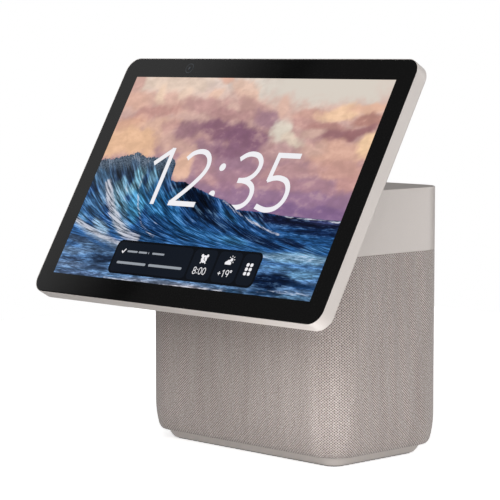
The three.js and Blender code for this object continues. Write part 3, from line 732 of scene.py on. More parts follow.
def make_camera(finish):
    """The camera behind the border: a faint ring and a small lens."""
    outer, inner, lens_radius, foot = 3.3 * MM, 2.8 * MM, 1.1 * MM, -0.02 * MM
    rim = [(outer, foot), (outer, 0.01 * MM), ((outer + inner) / 2, 0.018 * MM), (inner, 0.01 * MM),
           (inner, foot), (outer, foot)]
    dome = [(lens_radius * math.sin(a), 0.03 * MM * math.cos(a)) for a in np.linspace(0, math.pi / 2, 7)]
    dome += [(lens_radius, foot), (0, foot)]
    place = screen_place() @ Matrix.Translation((*CAMERA_PLACE, SCREEN_FRONT + 0.012 * MM))
    for name, profile, sides in (("camera_ring", rim, 64), ("camera_eye", dome, 40)):
        add(name, lathe_mesh(name, profile, sides), finish, "screen", place=place)


def make_hinge(finish):
    """The barrel's centre and its two end caps, each with a neck that runs into the housing."""
    barrel, neck, back, edge = 8.2 * MM, 7.2 * MM, 7.7 * MM, 0.3 * MM
    wall = [(-back, neck + 0.8 * MM), (-back + 0.8 * MM, neck + 0.15 * MM),
            (-5.2 * MM, neck), (-4.4 * MM, neck)]
    start = math.atan2(-neck, -4.0 * MM)
    section = [(y, -z) for y, z in wall]
    section += [(barrel * math.cos(a), barrel * math.sin(a)) for a in np.linspace(start, -start, 60)]
    section = np.array(section + wall[::-1])
    ways = section - (-1.0 * MM, 0)
    ways /= np.hypot(*ways.T)[:, None]
    for name, node in (("hinge_barrel", "hinge_cover"), ("hinge_end_left", "hinge_cap_left"),
                       ("hinge_end_right", "hinge_cap_right")):
        low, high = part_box(node)
        ends = ((0, edge), (0.1 * MM, 0.3 * edge), (edge, 0))
        places = [(low.x + step, pull) for step, pull in ends]
        places += [(high.x - step, pull) for step, pull in ends[::-1]]
        rings = [np.column_stack([np.full(len(section), x), section - ways * pull]) for x, pull in places]
        mesh = cleaned(loft_mesh(name, rings), outwards=True)
        add(name, mesh, finish, "screen", [node], SCREEN)


# ------------------------------------------------------------------ the lit picture
# Places on the picture are in millimetres across and up from the middle of the lit area.

HORIZON = [(-110, 9.2), (-98, 10.6), (-92, 12.2), (-84, 13.8), (-78, 15.9), (-74, 14.6), (-69, 12.5),
           (-62, 13.1), (-54, 12.4), (-46, 14.0), (-42, 11.0), (-39.6, 8.0), (-41.4, 5.0),
           (-38.6, -1.6), (-33, -2.3),
           (-26, -2.0), (-17, -4.9), (-8.5, -7.0), (1.5, -9.9), (11.5, -11.8), (19.8, -14.5), (24.8, -17.2),
           (30, -17.6), (48, -17.8), (62, -18.9), (82, -19.4), (110, -19.6)]

# Each stroke: across, up, half width, half height, turn in degrees, colour, cover.
SKY_STROKES = [
    (60, 64, 66, 15, 0, (219, 210, 199), 1.0),  # open sky at the top right
    (-76, 64, 44, 8, -3, (226, 203, 186), 0.95),  # pale haze at the top left
    (-107, 63, 9, 10, 70, (204, 162, 152), 0.9),
    (-26, 68, 8, 4, 0, (228, 180, 160), 0.9),
    (-10, 62, 14, 6, -25, (226, 192, 174), 0.9),
    (-100, 52, 20, 8, 0, (220, 176, 158), 0.9),  # salmon bank at the left
    (-66, 51, 28, 8, -8, (218, 178, 164), 0.9),
    (-78, 55, 5, 8, 15, (238, 208, 184), 0.9),  # puffs that catch the light
    (-58, 57, 6, 5, 30, (234, 206, 186), 0.8),
    (-30, 57, 7, 5, 20, (230, 194, 174), 0.9),
    (-82, 42, 27, 6, 13, (192, 146, 138), 0.95),
    (-98, 34, 18, 7, 10, (222, 174, 148), 0.9),
    (-70, 33, 22, 8, 4, (218, 178, 158), 0.9),
    (-92, 22, 34, 12, 0, (231, 187, 153), 1.0),  # orange glow behind the wave
    (-56, 24, 14, 8, -25, (204, 166, 154), 0.8),
    (-36, 49, 22, 6, -4, (196, 154, 150), 0.95),  # bank in the middle, its top catching light
    (-4, 56, 13, 4, -12, (226, 190, 172), 0.95),
    (4, 48, 22, 6, -20, (194, 154, 148), 0.9),
    (30, 50, 8, 6, -50, (222, 184, 168), 0.9),
    (22, 40, 16, 7, -12, (164, 128, 140), 0.95),
    (-14, 43, 24, 5, -3, (180, 138, 138), 0.9),
    (-40, 33, 18, 7, 6, (156, 118, 128), 0.9),
    (-12, 33, 30, 7, -3, (138, 99, 117), 0.95),
    (8, 28, 22, 9, -6, (134, 96, 118), 0.95),
    (-60, 34, 8, 6, 30, (196, 152, 146), 0.8),
    (-16, 20, 24, 7, -4, (160, 124, 138), 0.9),
    (6, 19, 20, 6, -4, (140, 102, 124), 0.9),
    (14, 10, 24, 6, -6, (160, 124, 144), 0.85),
    (-36, 18, 12, 6, -30, (206, 168, 156), 0.85),
    (-34, 7, 9, 9, -50, (226, 184, 160), 0.95),  # warm light over the ridge
    (-14, 6, 16, 6, -30, (178, 138, 146), 0.8),
    (-2, -1, 8, 3, -20, (206, 162, 158), 0.8),
    (10, -4, 18, 5, -14, (164, 124, 144), 0.8),
    (24, 2, 26, 6, 0, (176, 136, 150), 0.8),
    (35, 33, 8.5, 11, 14, (229, 218, 203), 1.0),  # gap of open sky
    (47, 28, 13, 4.5, -14, (224, 206, 188), 0.95),
    (56, 45, 20, 4, 4, (206, 162, 150), 0.95),  # cloud at the right
    (78, 46, 19, 6, 7, (240, 201, 168), 1.0),
    (98, 50, 16, 3.5, 6, (228, 184, 160), 0.95),
    (52, 39, 16, 4, -6, (196, 152, 146), 0.9),
    (100, 42, 15, 5, 4, (180, 132, 122), 0.95),
    (72, 36, 20, 4, -4, (182, 136, 130), 0.9),
    (82, 31.5, 18, 4, 0, (158, 114, 118), 0.95),
    (98, 35, 13, 4, 16, (158, 112, 114), 0.95),
    (60, 33, 9, 3, 0, (204, 170, 158), 0.9),
    (84, 21, 34, 8, 2, (214, 170, 152), 0.95),  # pink veil above the sea
    (105, 27, 8, 8, 30, (244, 206, 168), 1.0),
    (46, 20, 20, 6, -6, (188, 152, 152), 0.9),
    (66, 22, 14, 5, 4, (208, 172, 160), 0.8),
    (92, 11, 28, 6, -3, (204, 158, 146), 0.9),
    (54, 8, 28, 6, 4, (186, 146, 147), 0.85),
    (70, 0, 52, 5.5, 0, (174, 134, 146), 0.9),
    (104, 3, 12, 5, 0, (202, 154, 146), 0.8),
    (50, -9, 66, 6, 0, (154, 120, 148), 0.95),
    (74, -16, 60, 4.5, 0, (132, 102, 140), 0.95),
]
SEA_STROKES = [
    (-86, 6, 38, 8, 6, (60, 80, 100), 0.95),  # foaming crest
    (-50, 6, 15, 8, -10, (48, 70, 92), 0.95),
    (-84, 0, 24, 4, 0, (40, 58, 80), 0.9),
    (-102, -3, 12, 7, -30, (66, 98, 126), 0.9),
    (-92, -14, 10, 14, -30, (76, 108, 136), 0.9),  # lit face of the wave
    (-79, -12, 8, 14, 14, (96, 134, 152), 0.95),
    (-68, -4, 6, 12, 4, (104, 150, 168), 0.95),
    (-72, -24, 7, 12, 24, (96, 146, 172), 0.9),
    (-60, -18, 8, 14, 20, (58, 124, 160), 0.95),
    (-55, -3, 5, 9, 8, (92, 132, 152), 0.9),
    (-46, -14, 8, 14, 30, (38, 92, 132), 0.9),
    (-40, -22, 10, 8, -50, (36, 98, 144), 0.9),
    (-34, -33, 16, 6, -34, (14, 50, 92), 0.95),
    (-66, -33, 14, 6, -44, (84, 118, 148), 0.85),
    (-98, -22, 14, 8, -36, (40, 78, 114), 0.9),
    (-104, -30, 10, 4, -26, (70, 118, 156), 0.9),
    (-84, -35, 12, 4, -24, (134, 168, 194), 0.9),
    (-14, -11, 25, 6, -18, (5, 10, 20), 1.0),  # dark back of the ridge
    (-2, -18, 21, 6.5, -26, (4, 12, 26), 1.0),
    (14, -26, 16, 3.4, -26, (6, 24, 50), 0.9),
    (-29, -13, 7, 7, -50, (40, 84, 118), 0.85),
    (-24, -23, 17, 6, -36, (28, 82, 128), 0.95),
    (-6, -28, 18, 4.5, -28, (14, 50, 92), 0.95),
    (-14, -35, 24, 4, -20, (20, 60, 100), 0.9),
    (22, -22, 14, 3, -24, (44, 96, 142), 0.9),
    (30, -29, 22, 3.6, -18, (12, 40, 76), 0.95),
    (14, -36, 34, 4, -8, (36, 88, 136), 0.9),
    (34, -37, 14, 3, -8, (56, 112, 156), 0.9),
    (-40, -39, 16, 4, -10, (20, 56, 92), 0.9),
    (44, -24.5, 14, 2.2, -20, (58, 106, 152), 0.9),
    (52, -29, 20, 2.6, -16, (20, 52, 94), 0.9),
    (58, -36, 22, 3.4, -12, (9, 26, 54), 1.0),
    (48, -40.5, 16, 2.2, -4, (36, 80, 124), 0.9),
    (82, -22.5, 44, 4.0, 0, (16, 18, 40), 1.0),  # far water
    (96, -21, 14, 1.2, 0, (62, 66, 108), 0.7),
    (42, -19.6, 16, 2.0, 0, (16, 22, 46), 0.95),
    (64, -26.5, 12, 2.0, -6, (34, 66, 108), 0.85),
    (94, -27.5, 30, 2.8, 0, (12, 28, 60), 0.95),
    (84, -31.5, 34, 2.4, -4, (30, 72, 118), 0.9),
    (80, -35.5, 24, 2.4, -10, (10, 26, 54), 1.0),
    (100, -37, 14, 2.4, 0, (40, 84, 128), 0.9),
    (84, -44, 32, 4.4, 0, (118, 160, 190), 0.95),
    (84, -50.5, 32, 2.2, 0, (80, 120, 158), 0.9),
    (96, -53.5, 14, 3.0, 0, (104, 150, 186), 0.9),
    (74, -58.5, 22, 5.6, 0, (7, 22, 46), 1.0),
    (100, -60, 16, 2.4, 0, (18, 50, 88), 0.95),
    (72, -66, 18, 2.4, 0, (22, 52, 84), 0.9),
    (98, -66.4, 16, 2.2, 3, (66, 96, 122), 0.95),
    (44, -67, 22, 1.8, 0, (38, 66, 92), 0.95),
    (-10, -67, 48, 2.2, 0, (112, 124, 144), 0.95),
    (10, -67.8, 18, 1.0, 0, (176, 164, 164), 0.8),
    (-84, -40.5, 32, 3.4, -16, (126, 148, 172), 0.9),  # near water
    (-98, -45, 16, 3.4, -8, (48, 64, 84), 0.95),
    (-80, -49.5, 24, 3.0, -8, (66, 90, 118), 0.9),
    (-100, -52.5, 18, 3.0, 0, (92, 118, 148), 0.9),
    (-72, -55.5, 16, 3.4, 0, (30, 46, 68), 0.95),
    (-98, -57.5, 16, 1.8, 0, (50, 68, 94), 0.9),
    (-98, -61.5, 20, 2.4, 0, (92, 114, 144), 0.95),
    (-74, -61.5, 14, 2.0, 0, (58, 78, 106), 0.9),
    (-86, -66.5, 32, 2.2, 0, (80, 100, 132), 0.95),
]
# Each trail of foam: points along it, half width, share.
FOAM_TRAILS = [
    ([(-93, -6), (-87, -15), (-79, -24), (-69, -32.5), (-60, -38), (-48, -41)], 4.6, 1.0),
    ([(-96, -14), (-90, -22), (-80, -31), (-68, -38)], 2.0, 0.45),
    ([(-84, -6), (-79, -17), (-72, -27), (-62, -35)], 2.4, 0.6),
    ([(-110, -31), (-96, -36), (-80, -41), (-60, -45)], 2.4, 1.0),
    ([(-110, -26), (-98, -31), (-84, -36), (-70, -41)], 2.0, 0.6),
    ([(-110, 2), (-100, -4), (-90, -14)], 2.6, 0.5),
    ([(-65, 4), (-64, -8), (-58, -20), (-48, -32), (-34, -39)], 1.3, 0.8),
    ([(-76, 0), (-75, -10), (-70, -22)], 2.4, 0.5),
    ([(-57, 3), (-54, -10), (-46, -22), (-34, -32)], 1.3, 0.5),
    ([(-38, -4), (-28, -14), (-12, -24), (6, -31)], 1.0, 0.4),
    ([(-110, 7), (-92, 10), (-78, 13), (-66, 10)], 3.0, 0.7),
    ([(12, -12.4), (26, -18.6), (38, -23), (52, -27.4), (66, -30.8)], 1.2, 0.9),
    ([(58, -18.8), (74, -19.8), (90, -19.8), (108, -20.6)], 0.8, 0.9),
    ([(60, -44), (84, -43.4), (108, -44)], 3.0, 0.7),
    ([(20, -38.5), (50, -39.5), (76, -40)], 1.6, 0.4),
    ([(66, -66), (80, -64.5), (96, -63.8), (110, -65)], 1.4, 0.7),
    ([(-62, -67.5), (-10, -67.8), (40, -67.6)], 1.2, 0.9),
]


# How far the water's lines reach sideways as they fall: short on the wave's face, long at the right.
FLOW_PLACES = [-110, -92, -80, -62, -52, -35, 0, 50, 110]
FLOW_REACH = [26, 19, 11, 11, 16, 34, 46, 62, 72]


def drift(u, v, size, seed, octaves=4):
    """Smooth, repeatable unevenness of about -1 to 1, for bending painted edges."""
    lattice = np.random.default_rng(seed).uniform(-1, 1, (64, 64))
    total, weight = np.zeros_like(u), 1.0
    for octave in range(octaves):
        x, y = u / size + 31.7, v / size + 47.3
        i, j = np.floor(x).astype(int), np.floor(y).astype(int)
        fx, fy = x - i, y - j
        fx, fy = fx * fx * (3 - 2 * fx), fy * fy * (3 - 2 * fy)
        corner = [[lattice[(i + a) % 64, (j + b) % 64] for b in (0, 1)] for a in (0, 1)]
        low = corner[0][0] * (1 - fy) + corner[0][1] * fy
        high = corner[1][0] * (1 - fy) + corner[1][1] * fy
        total += weight * (low * (1 - fx) + high * fx)
        weight, size = weight * 0.6, size / 2
    return total


def ease(low, high, value):
    share = np.clip((value - low) / (high - low), 0, 1)
    return share * share * (3 - 2 * share)


def painted(u, v, stops, strokes, bend, outer, inner):
    """Lays strokes over an upward gradient. Each fades from its inner to its outer share."""
    heights = [height for height, _ in stops]
    colours = np.array([srgb(*colour) for _, colour in stops])
    paint = np.stack([np.interp(v, heights, colours[:, part]) for part in range(3)], axis=-1)
    for across, up, half_width, half_height, turn, colour, cover in strokes:
        c, s = math.cos(math.radians(turn)), math.sin(math.radians(turn))
        x = ((u - across) * c + (v - up) * s) / half_width
        y = ((v - up) * c - (u - across) * s) / half_height
        share = cover * ease(outer, inner, np.hypot(x, y) + bend)
        paint += (np.array(srgb(*colour)) - paint) * share[..., None]
    return paint


def trail_share(u, v, points, half_width):
    """How close each place is to a trail, 1 on it and 0 at its edge."""
    nearest = np.full_like(u, 1e3)
    for (u0, v0), (u1, v1) in zip(points, points[1:]):
        length = math.hypot(u1 - u0, v1 - v0)
        along = np.clip(((u - u0) * (u1 - u0) + (v - v0) * (v1 - v0)) / length ** 2, 0, 1)
        nearest = np.minimum(nearest, np.hypot(u - u0 - along * (u1 - u0), v - v0 - along * (v1 - v0)))
    return ease(half_width * 1.5, half_width * 0.2, nearest)


def horizon(u):
    """Height of the water's edge, and how ragged it is there."""
    us, vs = zip(*HORIZON)
    return np.interp(u, us, vs), np.interp(u, [-100, -44, -38, 20, 30], [1.5, 1.5, 0.4, 0.4, 0.15])


def make_display():
    """The lit area: a grid that carries the picture's colours and its water's flow to the material."""
    across, up = 217, 136
    us = np.linspace(-ACTIVE_WIDTH / 2, ACTIVE_WIDTH / 2, across + 1)
    vs = np.linspace(-ACTIVE_HEIGHT / 2, ACTIVE_HEIGHT / 2, up + 1)
    grid_u, grid_v = np.meshgrid(us, vs)
    verts = np.column_stack([grid_u.ravel(), grid_v.ravel(), np.full(grid_u.size, SCREEN_FRONT - SUNK)])
    row = across + 1
    faces = [(j * row + i, j * row + i + 1, (j + 1) * row + i + 1, (j + 1) * row + i)
             for j in range(up) for i in range(across)]
    mesh = new_mesh("display", verts, faces)
    u, v = verts[:, 0] / MM, verts[:, 1] / MM
    bent_u, bent_v = u + 1.8 * drift(u, v, 10, 1), v + 1.3 * drift(u, v, 10, 2)
    sky = painted(bent_u, bent_v, [(-20, (140, 110, 148)), (5, (168, 132, 146)), (25, (188, 148, 146)),
                                   (50, (214, 180, 168)), (68, (224, 208, 198))], SKY_STROKES,
                  0.20 * drift(u, v, 8, 3), 1.2, 0.5)
    sea = painted(u, v, [(-68, (96, 128, 165)), (-40, (40, 90, 145)), (-15, (24, 62, 110)),
                         (15, (50, 78, 106))], SEA_STROKES, 0.18 * drift(u * 0.4, v, 5, 4), 1.12, 0.6)
    foam = np.zeros_like(u)
    for points, half_width, share in FOAM_TRAILS:
        foam = np.maximum(foam, share * trail_share(u, v, points, half_width))
    edge, ragged = horizon(u)
    # the water's lines fall steeply on the wave's face and flatten out towards the right
    step_lengths = 1 / np.interp(us, FLOW_PLACES, FLOW_REACH) * ACTIVE_WIDTH / across / MM
    fall = np.interp(u, us / MM, np.cumsum(step_lengths)) + np.log(np.maximum(v + 47, 2.0))
    flat = ease(-38, -48, v) + ease(44, 70, u) * ease(-40, -30, v)
    calm = ease(-5, 30, u) * ease(46, 56, v)
    for name, values in (("sky", sky), ("sea", sea), ("water", np.column_stack([edge - v, ragged, foam])),
                         ("flow", np.column_stack([fall, u, np.clip(flat, 0, 1)])),
                         ("picture", np.column_stack([u, v, calm]))):
        layer = mesh.attributes.new(name, "FLOAT_VECTOR", "POINT")
        layer.data.foreach_set("vector", values.astype(np.float32).ravel())
    add("display", mesh, picture_material(), "screen", ["cover_glass"], screen_place())


def picture_material():
    """Clouds over a breaking wave, lit from behind under polished glass."""
    graph = Graph("lit_picture")
    plus, minus, times, between = graph.plus, graph.minus, graph.times, graph.between

    def field(vector, factors, detail, roughness, distortion=0.0):
        return graph.noise(graph.stretch(vector, (*factors, 1)), 1.0, detail, roughness, distortion)

    across, up, calm = graph.parts(graph.attribute("picture"))
    place = graph.join(across, up)
    puffs = field(place, (0.075, 0.11), 4, 0.5, 0.5)
    wisps = field(place, (0.16, 0.26), 3, 0.5, 0.4)
    lift = plus(times(puffs, 0.66), times(wisps, 0.34))
    lift = plus(lift, times(minus(0.5, lift), calm))
    sky = graph.scale(graph.attribute("sky"), between(lift, 0.36, 0.64, 0.87, 1.08))
    sky = graph.mix(between(lift, 0.52, 0.68, 0.0, 0.18), sky, srgb(242, 208, 186))

    fall, along, flat = graph.parts(graph.attribute("flow"))
    thread = graph.join(times(fall, 6.2), times(along, 0.04))
    ripple = graph.join(times(up, 0.42), times(along, 0.05))
    broad = graph.mix(flat, graph.noise(thread, 1.0, 5, 0.6, 0.3), graph.noise(ripple, 1.0, 5, 0.6, 0.5))
    fine = graph.mix(flat, field(thread, (3.4, 1.8), 4, 0.65, 0.2), field(ripple, (2.4, 2.8), 4, 0.7, 0.4))
    deep, ragged, foam = graph.parts(graph.attribute("water"))

    gain = times(between(broad, 0.37, 0.63, 0.34, 1.65), between(fine, 0.38, 0.64, 0.34, 1.9))
    gain = plus(gain, times(minus(1.0, gain), times(flat, 0.26)))
    sea = graph.scale(graph.mix(0.08, graph.attribute("sea"), srgb(4, 62, 130)), gain)
    sea = graph.mix(between(gain, 1.2, 3.4, 0.0, 0.30), sea, srgb(150, 194, 220))
    lather = plus(plus(times(foam, 0.22), times(broad, 0.36)), times(fine, 0.5))
    sea = graph.mix(between(lather, 0.56, 0.69, 0.0, 0.92), sea, srgb(206, 208, 218))

    spray = field(place, (0.55, 0.55), 5, 0.7)
    fleck = field(place, (0.9, 1.3), 4, 0.7, 0.5)
    near_crest = times(between(plus(deep, times(broad, 14.0)), 17.5, 9.5), between(ragged, 0.5, 1.4))
    crest = graph.mix(between(fleck, 0.40, 0.60), srgb(26, 42, 60), srgb(104, 120, 138))
    crest = graph.mix(between(fine, 0.54, 0.66, 0.0, 0.6), crest, srgb(150, 164, 184))
    sea = graph.mix(times(near_crest, 0.9), sea, crest)
    frayed = plus(deep, times(ragged, times(minus(spray, 0.5), 5.0)))
    return glowing(graph, graph.mix(between(frayed, -0.25, 0.25), sky, sea))


# ------------------------------------------------------------------ marks on the picture

SUNK = 0.06 * MM  # how far the lit picture lies under the face of the glass
STROKE = 3.3  # of the clock's digits
DOT = 2.5
SMALL_STROKE = 0.48  # of the figures on the tiles
SMALL_TALL = 4.1
SMALL_UP = -56.9


def curve_through(points, steps=8):
    """A smooth line through the points."""
    line = []
    padded = [points[0], *points, points[-1]]
    for p0, p1, p2, p3 in zip(padded, padded[1:], padded[2:], padded[3:]):
        for step in range(steps):
            t = step / steps
            line.append(tuple(0.5 * (2 * b + (c - a) * t + (2 * a - 5 * b + 4 * c - d) * t * t
                                     + (3 * b - a - 3 * c + d) * t ** 3)
                              for a, b, c, d in zip(p0, p1, p2, p3)))
    return [*line, points[-1]]


CLOCK = {
    "digit_1": [[(-59.6, 8.8), (-47.3, 18.4)], [(-47.2, 19.8), (-47.2, -17.8)]],
    "digit_2": [curve_through([(-32.3, 13.0), (-28.8, 16.6), (-23.5, 18.2), (-18.0, 17.5), (-13.9, 14.3),
                               (-12.2, 9.6), (-13.2, 4.8), (-16.4, -0.2), (-21.8, -6.4), (-31.9, -16.2)]),
                [(-33.2, -16.2), (-10.2, -16.2)]],
    "digit_3": [curve_through([(12.2, 14.4), (16.4, 17.3), (21.0, 18.2), (26.3, 17.1), (29.9, 13.6),
                               (30.5, 9.3), (28.4, 4.9), (24.3, 2.0), (20.4, 1.1), (17.0, 1.0)]),
                curve_through([(18.5, 1.0), (22.0, 0.9), (26.4, -0.1), (30.6, -2.9), (32.3, -7.3),
                               (31.2, -12.0), (27.4, -15.2), (22.0, -16.2), (16.5, -15.8), (10.8, -13.6)])],
    "digit_5": [[(41.0, 18.2), (59.6, 18.2)], [(42.6, 19.0), (41.6, 1.6)],
                curve_through([(40.6, 2.2), (45.3, 3.7), (50.0, 3.9), (55.4, 2.3), (58.8, -1.5),
                               (59.8, -6.3), (58.6, -11.0), (55.0, -14.7), (50.0, -16.2), (45.0, -15.9),
                               (39.2, -14.3)])],
}
DOTS = {"colon_top": (0.3, 8.8), "colon_bottom": (0.3, -8.9)}
BEHIND_THE_WAVE = ["digit_3", "colon_bottom"]


def prism(made, points, bottom, top):
    """Adds an upright solid with a plane outline to a bmesh."""
    low, high = [[made.verts.new((x, y, z)) for x, y in points] for z in (bottom, top)]
    made.faces.new(low[::-1])
    made.faces.new(high)
    for i in range(len(points)):
        j = (i + 1) % len(points)
        made.faces.new((low[i], low[j], high[j], high[i]))


def draw(name, material, level, lines=(), discs=(), plates=(), width=1.0, cut=False):
    """Lays flat shapes under the glass, in picture millimetres. A higher level covers a lower one.

    A disc is (across, up, radius), and a plate is (left, bottom, right, top, corner).
    """
    thick = 0.02
    made = bmesh.new()
    for line in lines:
        ribbon(made, line, width, thick)
    for x, y, r in discs:
        turns = np.linspace(0, 2 * math.pi, 33)[:-1]
        prism(made, [(x + r * math.cos(a), y + r * math.sin(a)) for a in turns], 0, thick)
    for left, bottom, right, top, corner in plates:
        flat = outline(right - left, top - bottom, corner, 8) + ((left + right) / 2, (bottom + top) / 2)
        prism(made, flat, 0, thick)
    mesh = mesh_from(name, made)
    if cut:
        mesh = cut_mesh(mesh, wave_tool())
    place = screen_place() @ Matrix.Translation((0, 0, SCREEN_FRONT - SUNK + level * 0.006 * MM))
    add(name, mesh, material, "screen", place=place @ Matrix.Diagonal((MM, MM, 0.2 * MM, 1)))


def wave_tool():
    """The water in front of the clock, as a solid to cut with."""
    points = [(u, v) for u, v in HORIZON if -9 < u < 25]
    made = bmesh.new()
    prism(made, [(-9.0, -6.9), *points[1:], (24.9, -19.5), (24.9, -40), (-9.0, -40)], -1, 1)
    return cleaned(mesh_from("wave_tool", made), outwards=True)


def make_clock(white):
    shapes = {name: {"lines": lines, "width": STROKE} for name, lines in CLOCK.items()}
    shapes |= {name: {"discs": [(*place, DOT)]} for name, place in DOTS.items()}
    for name, shape in shapes.items():
        draw(name, white, 1, cut=name in BEHIND_THE_WAVE, **shape)


def small_digits(text, x):
    """Thin figures drawn as strokes from a place across, for a clock or a temperature."""
    w, h, middle = 0.56 * SMALL_TALL, SMALL_TALL, SMALL_UP

    def loop(up, wide, tall, steps):
        return arc(w / 2, h * up, w * wide, 0, 360, steps, h * tall / (w * wide))

    glyphs = {
        "8": [loop(0.75, 0.42, 0.25, 20), loop(0.25, 0.5, 0.25, 20)],
        "0": [loop(0.5, 0.5, 0.5, 28)],
        "1": [[(w * 0.2, h * 0.78), (w * 0.62, h)], [(w * 0.62, h * 1.04), (w * 0.62, -h * 0.04)]],
        "9": [loop(0.70, 0.5, 0.30, 24), arc(0, h * 0.70, w, 0, -50, 8, h * 0.70 / (w * 0.8))],
        "+": [[(0, h * 0.45), (w, h * 0.45)], [(w / 2, h * 0.45 - w / 2), (w / 2, h * 0.45 + w / 2)]],
    }
    lines, discs = [], []
    for letter in text:
        if letter == ":":
            discs += [(x + 0.3, middle - h * 0.34, 0.34), (x + 0.3, middle + h * 0.2, 0.34)]
            x += 1.5
        elif letter == "o":
            lines.append(arc(x + 0.6, middle + h * 0.38, 0.6, 0, 360, 16))
            x += 1.6
        else:
            lines += [[(x + px, middle - h / 2 + py) for px, py in line] for line in glyphs[letter]]
            x += w + 0.85
    return lines, discs


def make_dock(back, tile, white, grey):
    """The row of tiles: a reminder, the alarm, the weather and the menu."""
    draw("dock", back, 2, plates=[(-61.5, -64.1, 61.5, -42.2, 4.2)])
    tiles = [(-60.0, 5.0), (6.6, 25.4), (27.1, 45.7), (47.3, 60.0)]
    draw("dock_tiles", tile, 3, plates=[(left, -62.7, right, -43.6, 3.0) for left, right in tiles])
    words = [(-50.6, -41.6), (-40.6, -33.2), (-32.2, -31.4), (-28.6, -18.2)]
    draw("reminder_time", grey, 4, plates=[(left, -49.9, right, -48.7, 0.55) for left, right in words])
    words = [(-56.0, -30.6), (-28.0, 0.6)]
    draw("reminder_title", grey, 4, plates=[(left, -57.6, right, -56.0, 0.75) for left, right in words])
    draw("reminder_tick", white, 4, [[(-55.4, -49.3), (-54.2, -50.4), (-52.4, -47.9)]], width=0.8)

    draw("alarm_time", white, 4, *small_digits("8:00", 10.6), width=SMALL_STROKE)
    legs = [[(14.4, -51.3), (13.6, -52.2)], [(17.2, -51.3), (18.0, -52.2)]]
    case = [(15.8, -49.5, 2.35), (13.7, -47.4, 0.95), (17.9, -47.4, 0.95)]
    draw("alarm_clock", white, 4, legs, case, width=0.8)
    draw("alarm_hands", tile, 5, [[(15.8, -48.2), (15.8, -49.7), (16.8, -50.3)]], width=0.5)

    draw("temperature", white, 4, *small_digits("+19o", 31.0), width=SMALL_STROKE)
    rays = [[(38 + r * math.cos(a), -48.3 + r * math.sin(a)) for r in (1.8, 2.6)]
            for a in np.radians([-40, 5, 50, 95, 140])]
    puffs = [(34.6, -50.4, 1.0), (36.1, -49.8, 1.4), (37.7, -50.5, 0.9), (38.0, -48.3, 1.1)]
    draw("sun_and_cloud", white, 4, rays, puffs, [(33.6, -51.4, 38.6, -50.2, 0.5)], width=0.5)
    dots = [(x - 1.1, y - 1.05, x + 1.1, y + 1.05, 0.8)
            for x in (52.2, 55.2) for y in (-50.3, -53.0, -55.7)]
    draw("menu_dots", white, 4, plates=dots)


# ------------------------------------------------------------------ carried-over CAD nodes

def finish_cad_nodes(finishes):
    """Gives every CAD node the material of its slot."""
    slots = {part["node"]: part["material_slot"] for part in frame["record"]["subparts"]}
    for name, node in frame["nodes"].items():
        node.data.materials.clear()
        node.data.materials.append(finishes[slots[name]])


# ------------------------------------------------------------------ studio

def direction(azimuth, elevation):
    a, e = math.radians(azimuth), math.radians(elevation)
    return Vector((math.sin(a) * math.cos(e), -math.cos(a) * math.cos(e), math.sin(e)))


def make_camera_view():
    azimuth, elevation = 46.0, 5.2
    back = direction(azimuth, elevation)
    right = Vector((math.cos(math.radians(azimuth)), math.sin(math.radians(azimuth)), 0))
    up = back.cross(right)
    aim = Vector((0, 0, 120.6 * MM))
    data = bpy.data.cameras.new("camera")
    data.lens = 154.8
    data.sensor_width = 36
    data.clip_start = 0.05
    data.clip_end = 50
    camera = new_object("camera", data)
    camera.location = aim + back * 1.2896 - right * 25.3 * MM - up * 2.6 * MM
    camera.rotation_mode = "QUATERNION"
    camera.rotation_quaternion = Matrix((right, up, back)).transposed().to_quaternion()
    bpy.context.scene.camera = camera


def panel_light(name, azimuth, elevation, distance, width, height, radiance,
                aim=Vector((0, 0, 0.1)), back=None):
    """A soft panel that shines at the aim, or along the opposite of back."""
    data = bpy.data.lights.new(name, "AREA")
    data.shape = "RECTANGLE"
    data.size, data.size_y = width, height
    data.energy = radiance * math.pi * width * height
    light = new_object(name, data)
    way = direction(azimuth, elevation)
    light.location = aim + way * distance
    light.rotation_mode = "QUATERNION"
    light.rotation_quaternion = (back or way).to_track_quat("Z", "Y")
    light.visible_camera = False


def make_studio():
    scene = bpy.context.scene
    scene.view_settings.view_transform = "Standard"
    world = bpy.data.worlds.new("studio")
    scene.world = world
    world.use_nodes = True
    nodes, links = world.node_tree.nodes, world.node_tree.links
    nodes.clear()
    seen, lighting = [nodes.new("ShaderNodeBackground") for _ in range(2)]
    seen.inputs["Color"].default_value = (1, 1, 1, 1)
    lighting.inputs["Color"].default_value = (1, 0.985, 0.97, 1)
    lighting.inputs["Strength"].default_value = 0.06
    path = nodes.new("ShaderNodeLightPath")
    mix = nodes.new("ShaderNodeMixShader")
    out = nodes.new("ShaderNodeOutputWorld")
    links.new(path.outputs["Is Camera Ray"], mix.inputs[0])
    links.new(lighting.outputs[0], mix.inputs[1])
    links.new(seen.outputs[0], mix.inputs[2])
    links.new(mix.outputs[0], out.inputs["Surface"])

    lights = [  # name, azimuth, elevation, distance, width, height, radiance
        ("top", 20, 80, 2.0, 2.4, 2.4, 0.35), ("front", 20, 30, 2.2, 1.2, 1.2, 1.8),
        ("key", 32, 26, 2.2, 0.9, 1.2, 4.7), ("side", 78, 24, 2.2, 1.2, 1.2, 2.4),
        ("rear_right", 144, 12, 1.6, 0.8, 1.0, 2.9), ("backdrop", 200, 24, 2.0, 2.4, 1.6, 0.8),
        ("low_front", 43, 3, 1.2, 0.3, 0.2, 13.0),
    ]
    for light in lights:
        panel_light(*light)
    # light off the floor, which shines upwards from just above it
    panel_light("floor_bounce", 45, 0, 0.16, 0.08, 0.08, 3.6, Vector((0, 0, 0.5 * MM)), Vector((0, 0, -1)))
    make_soft_card()
    make_floor()


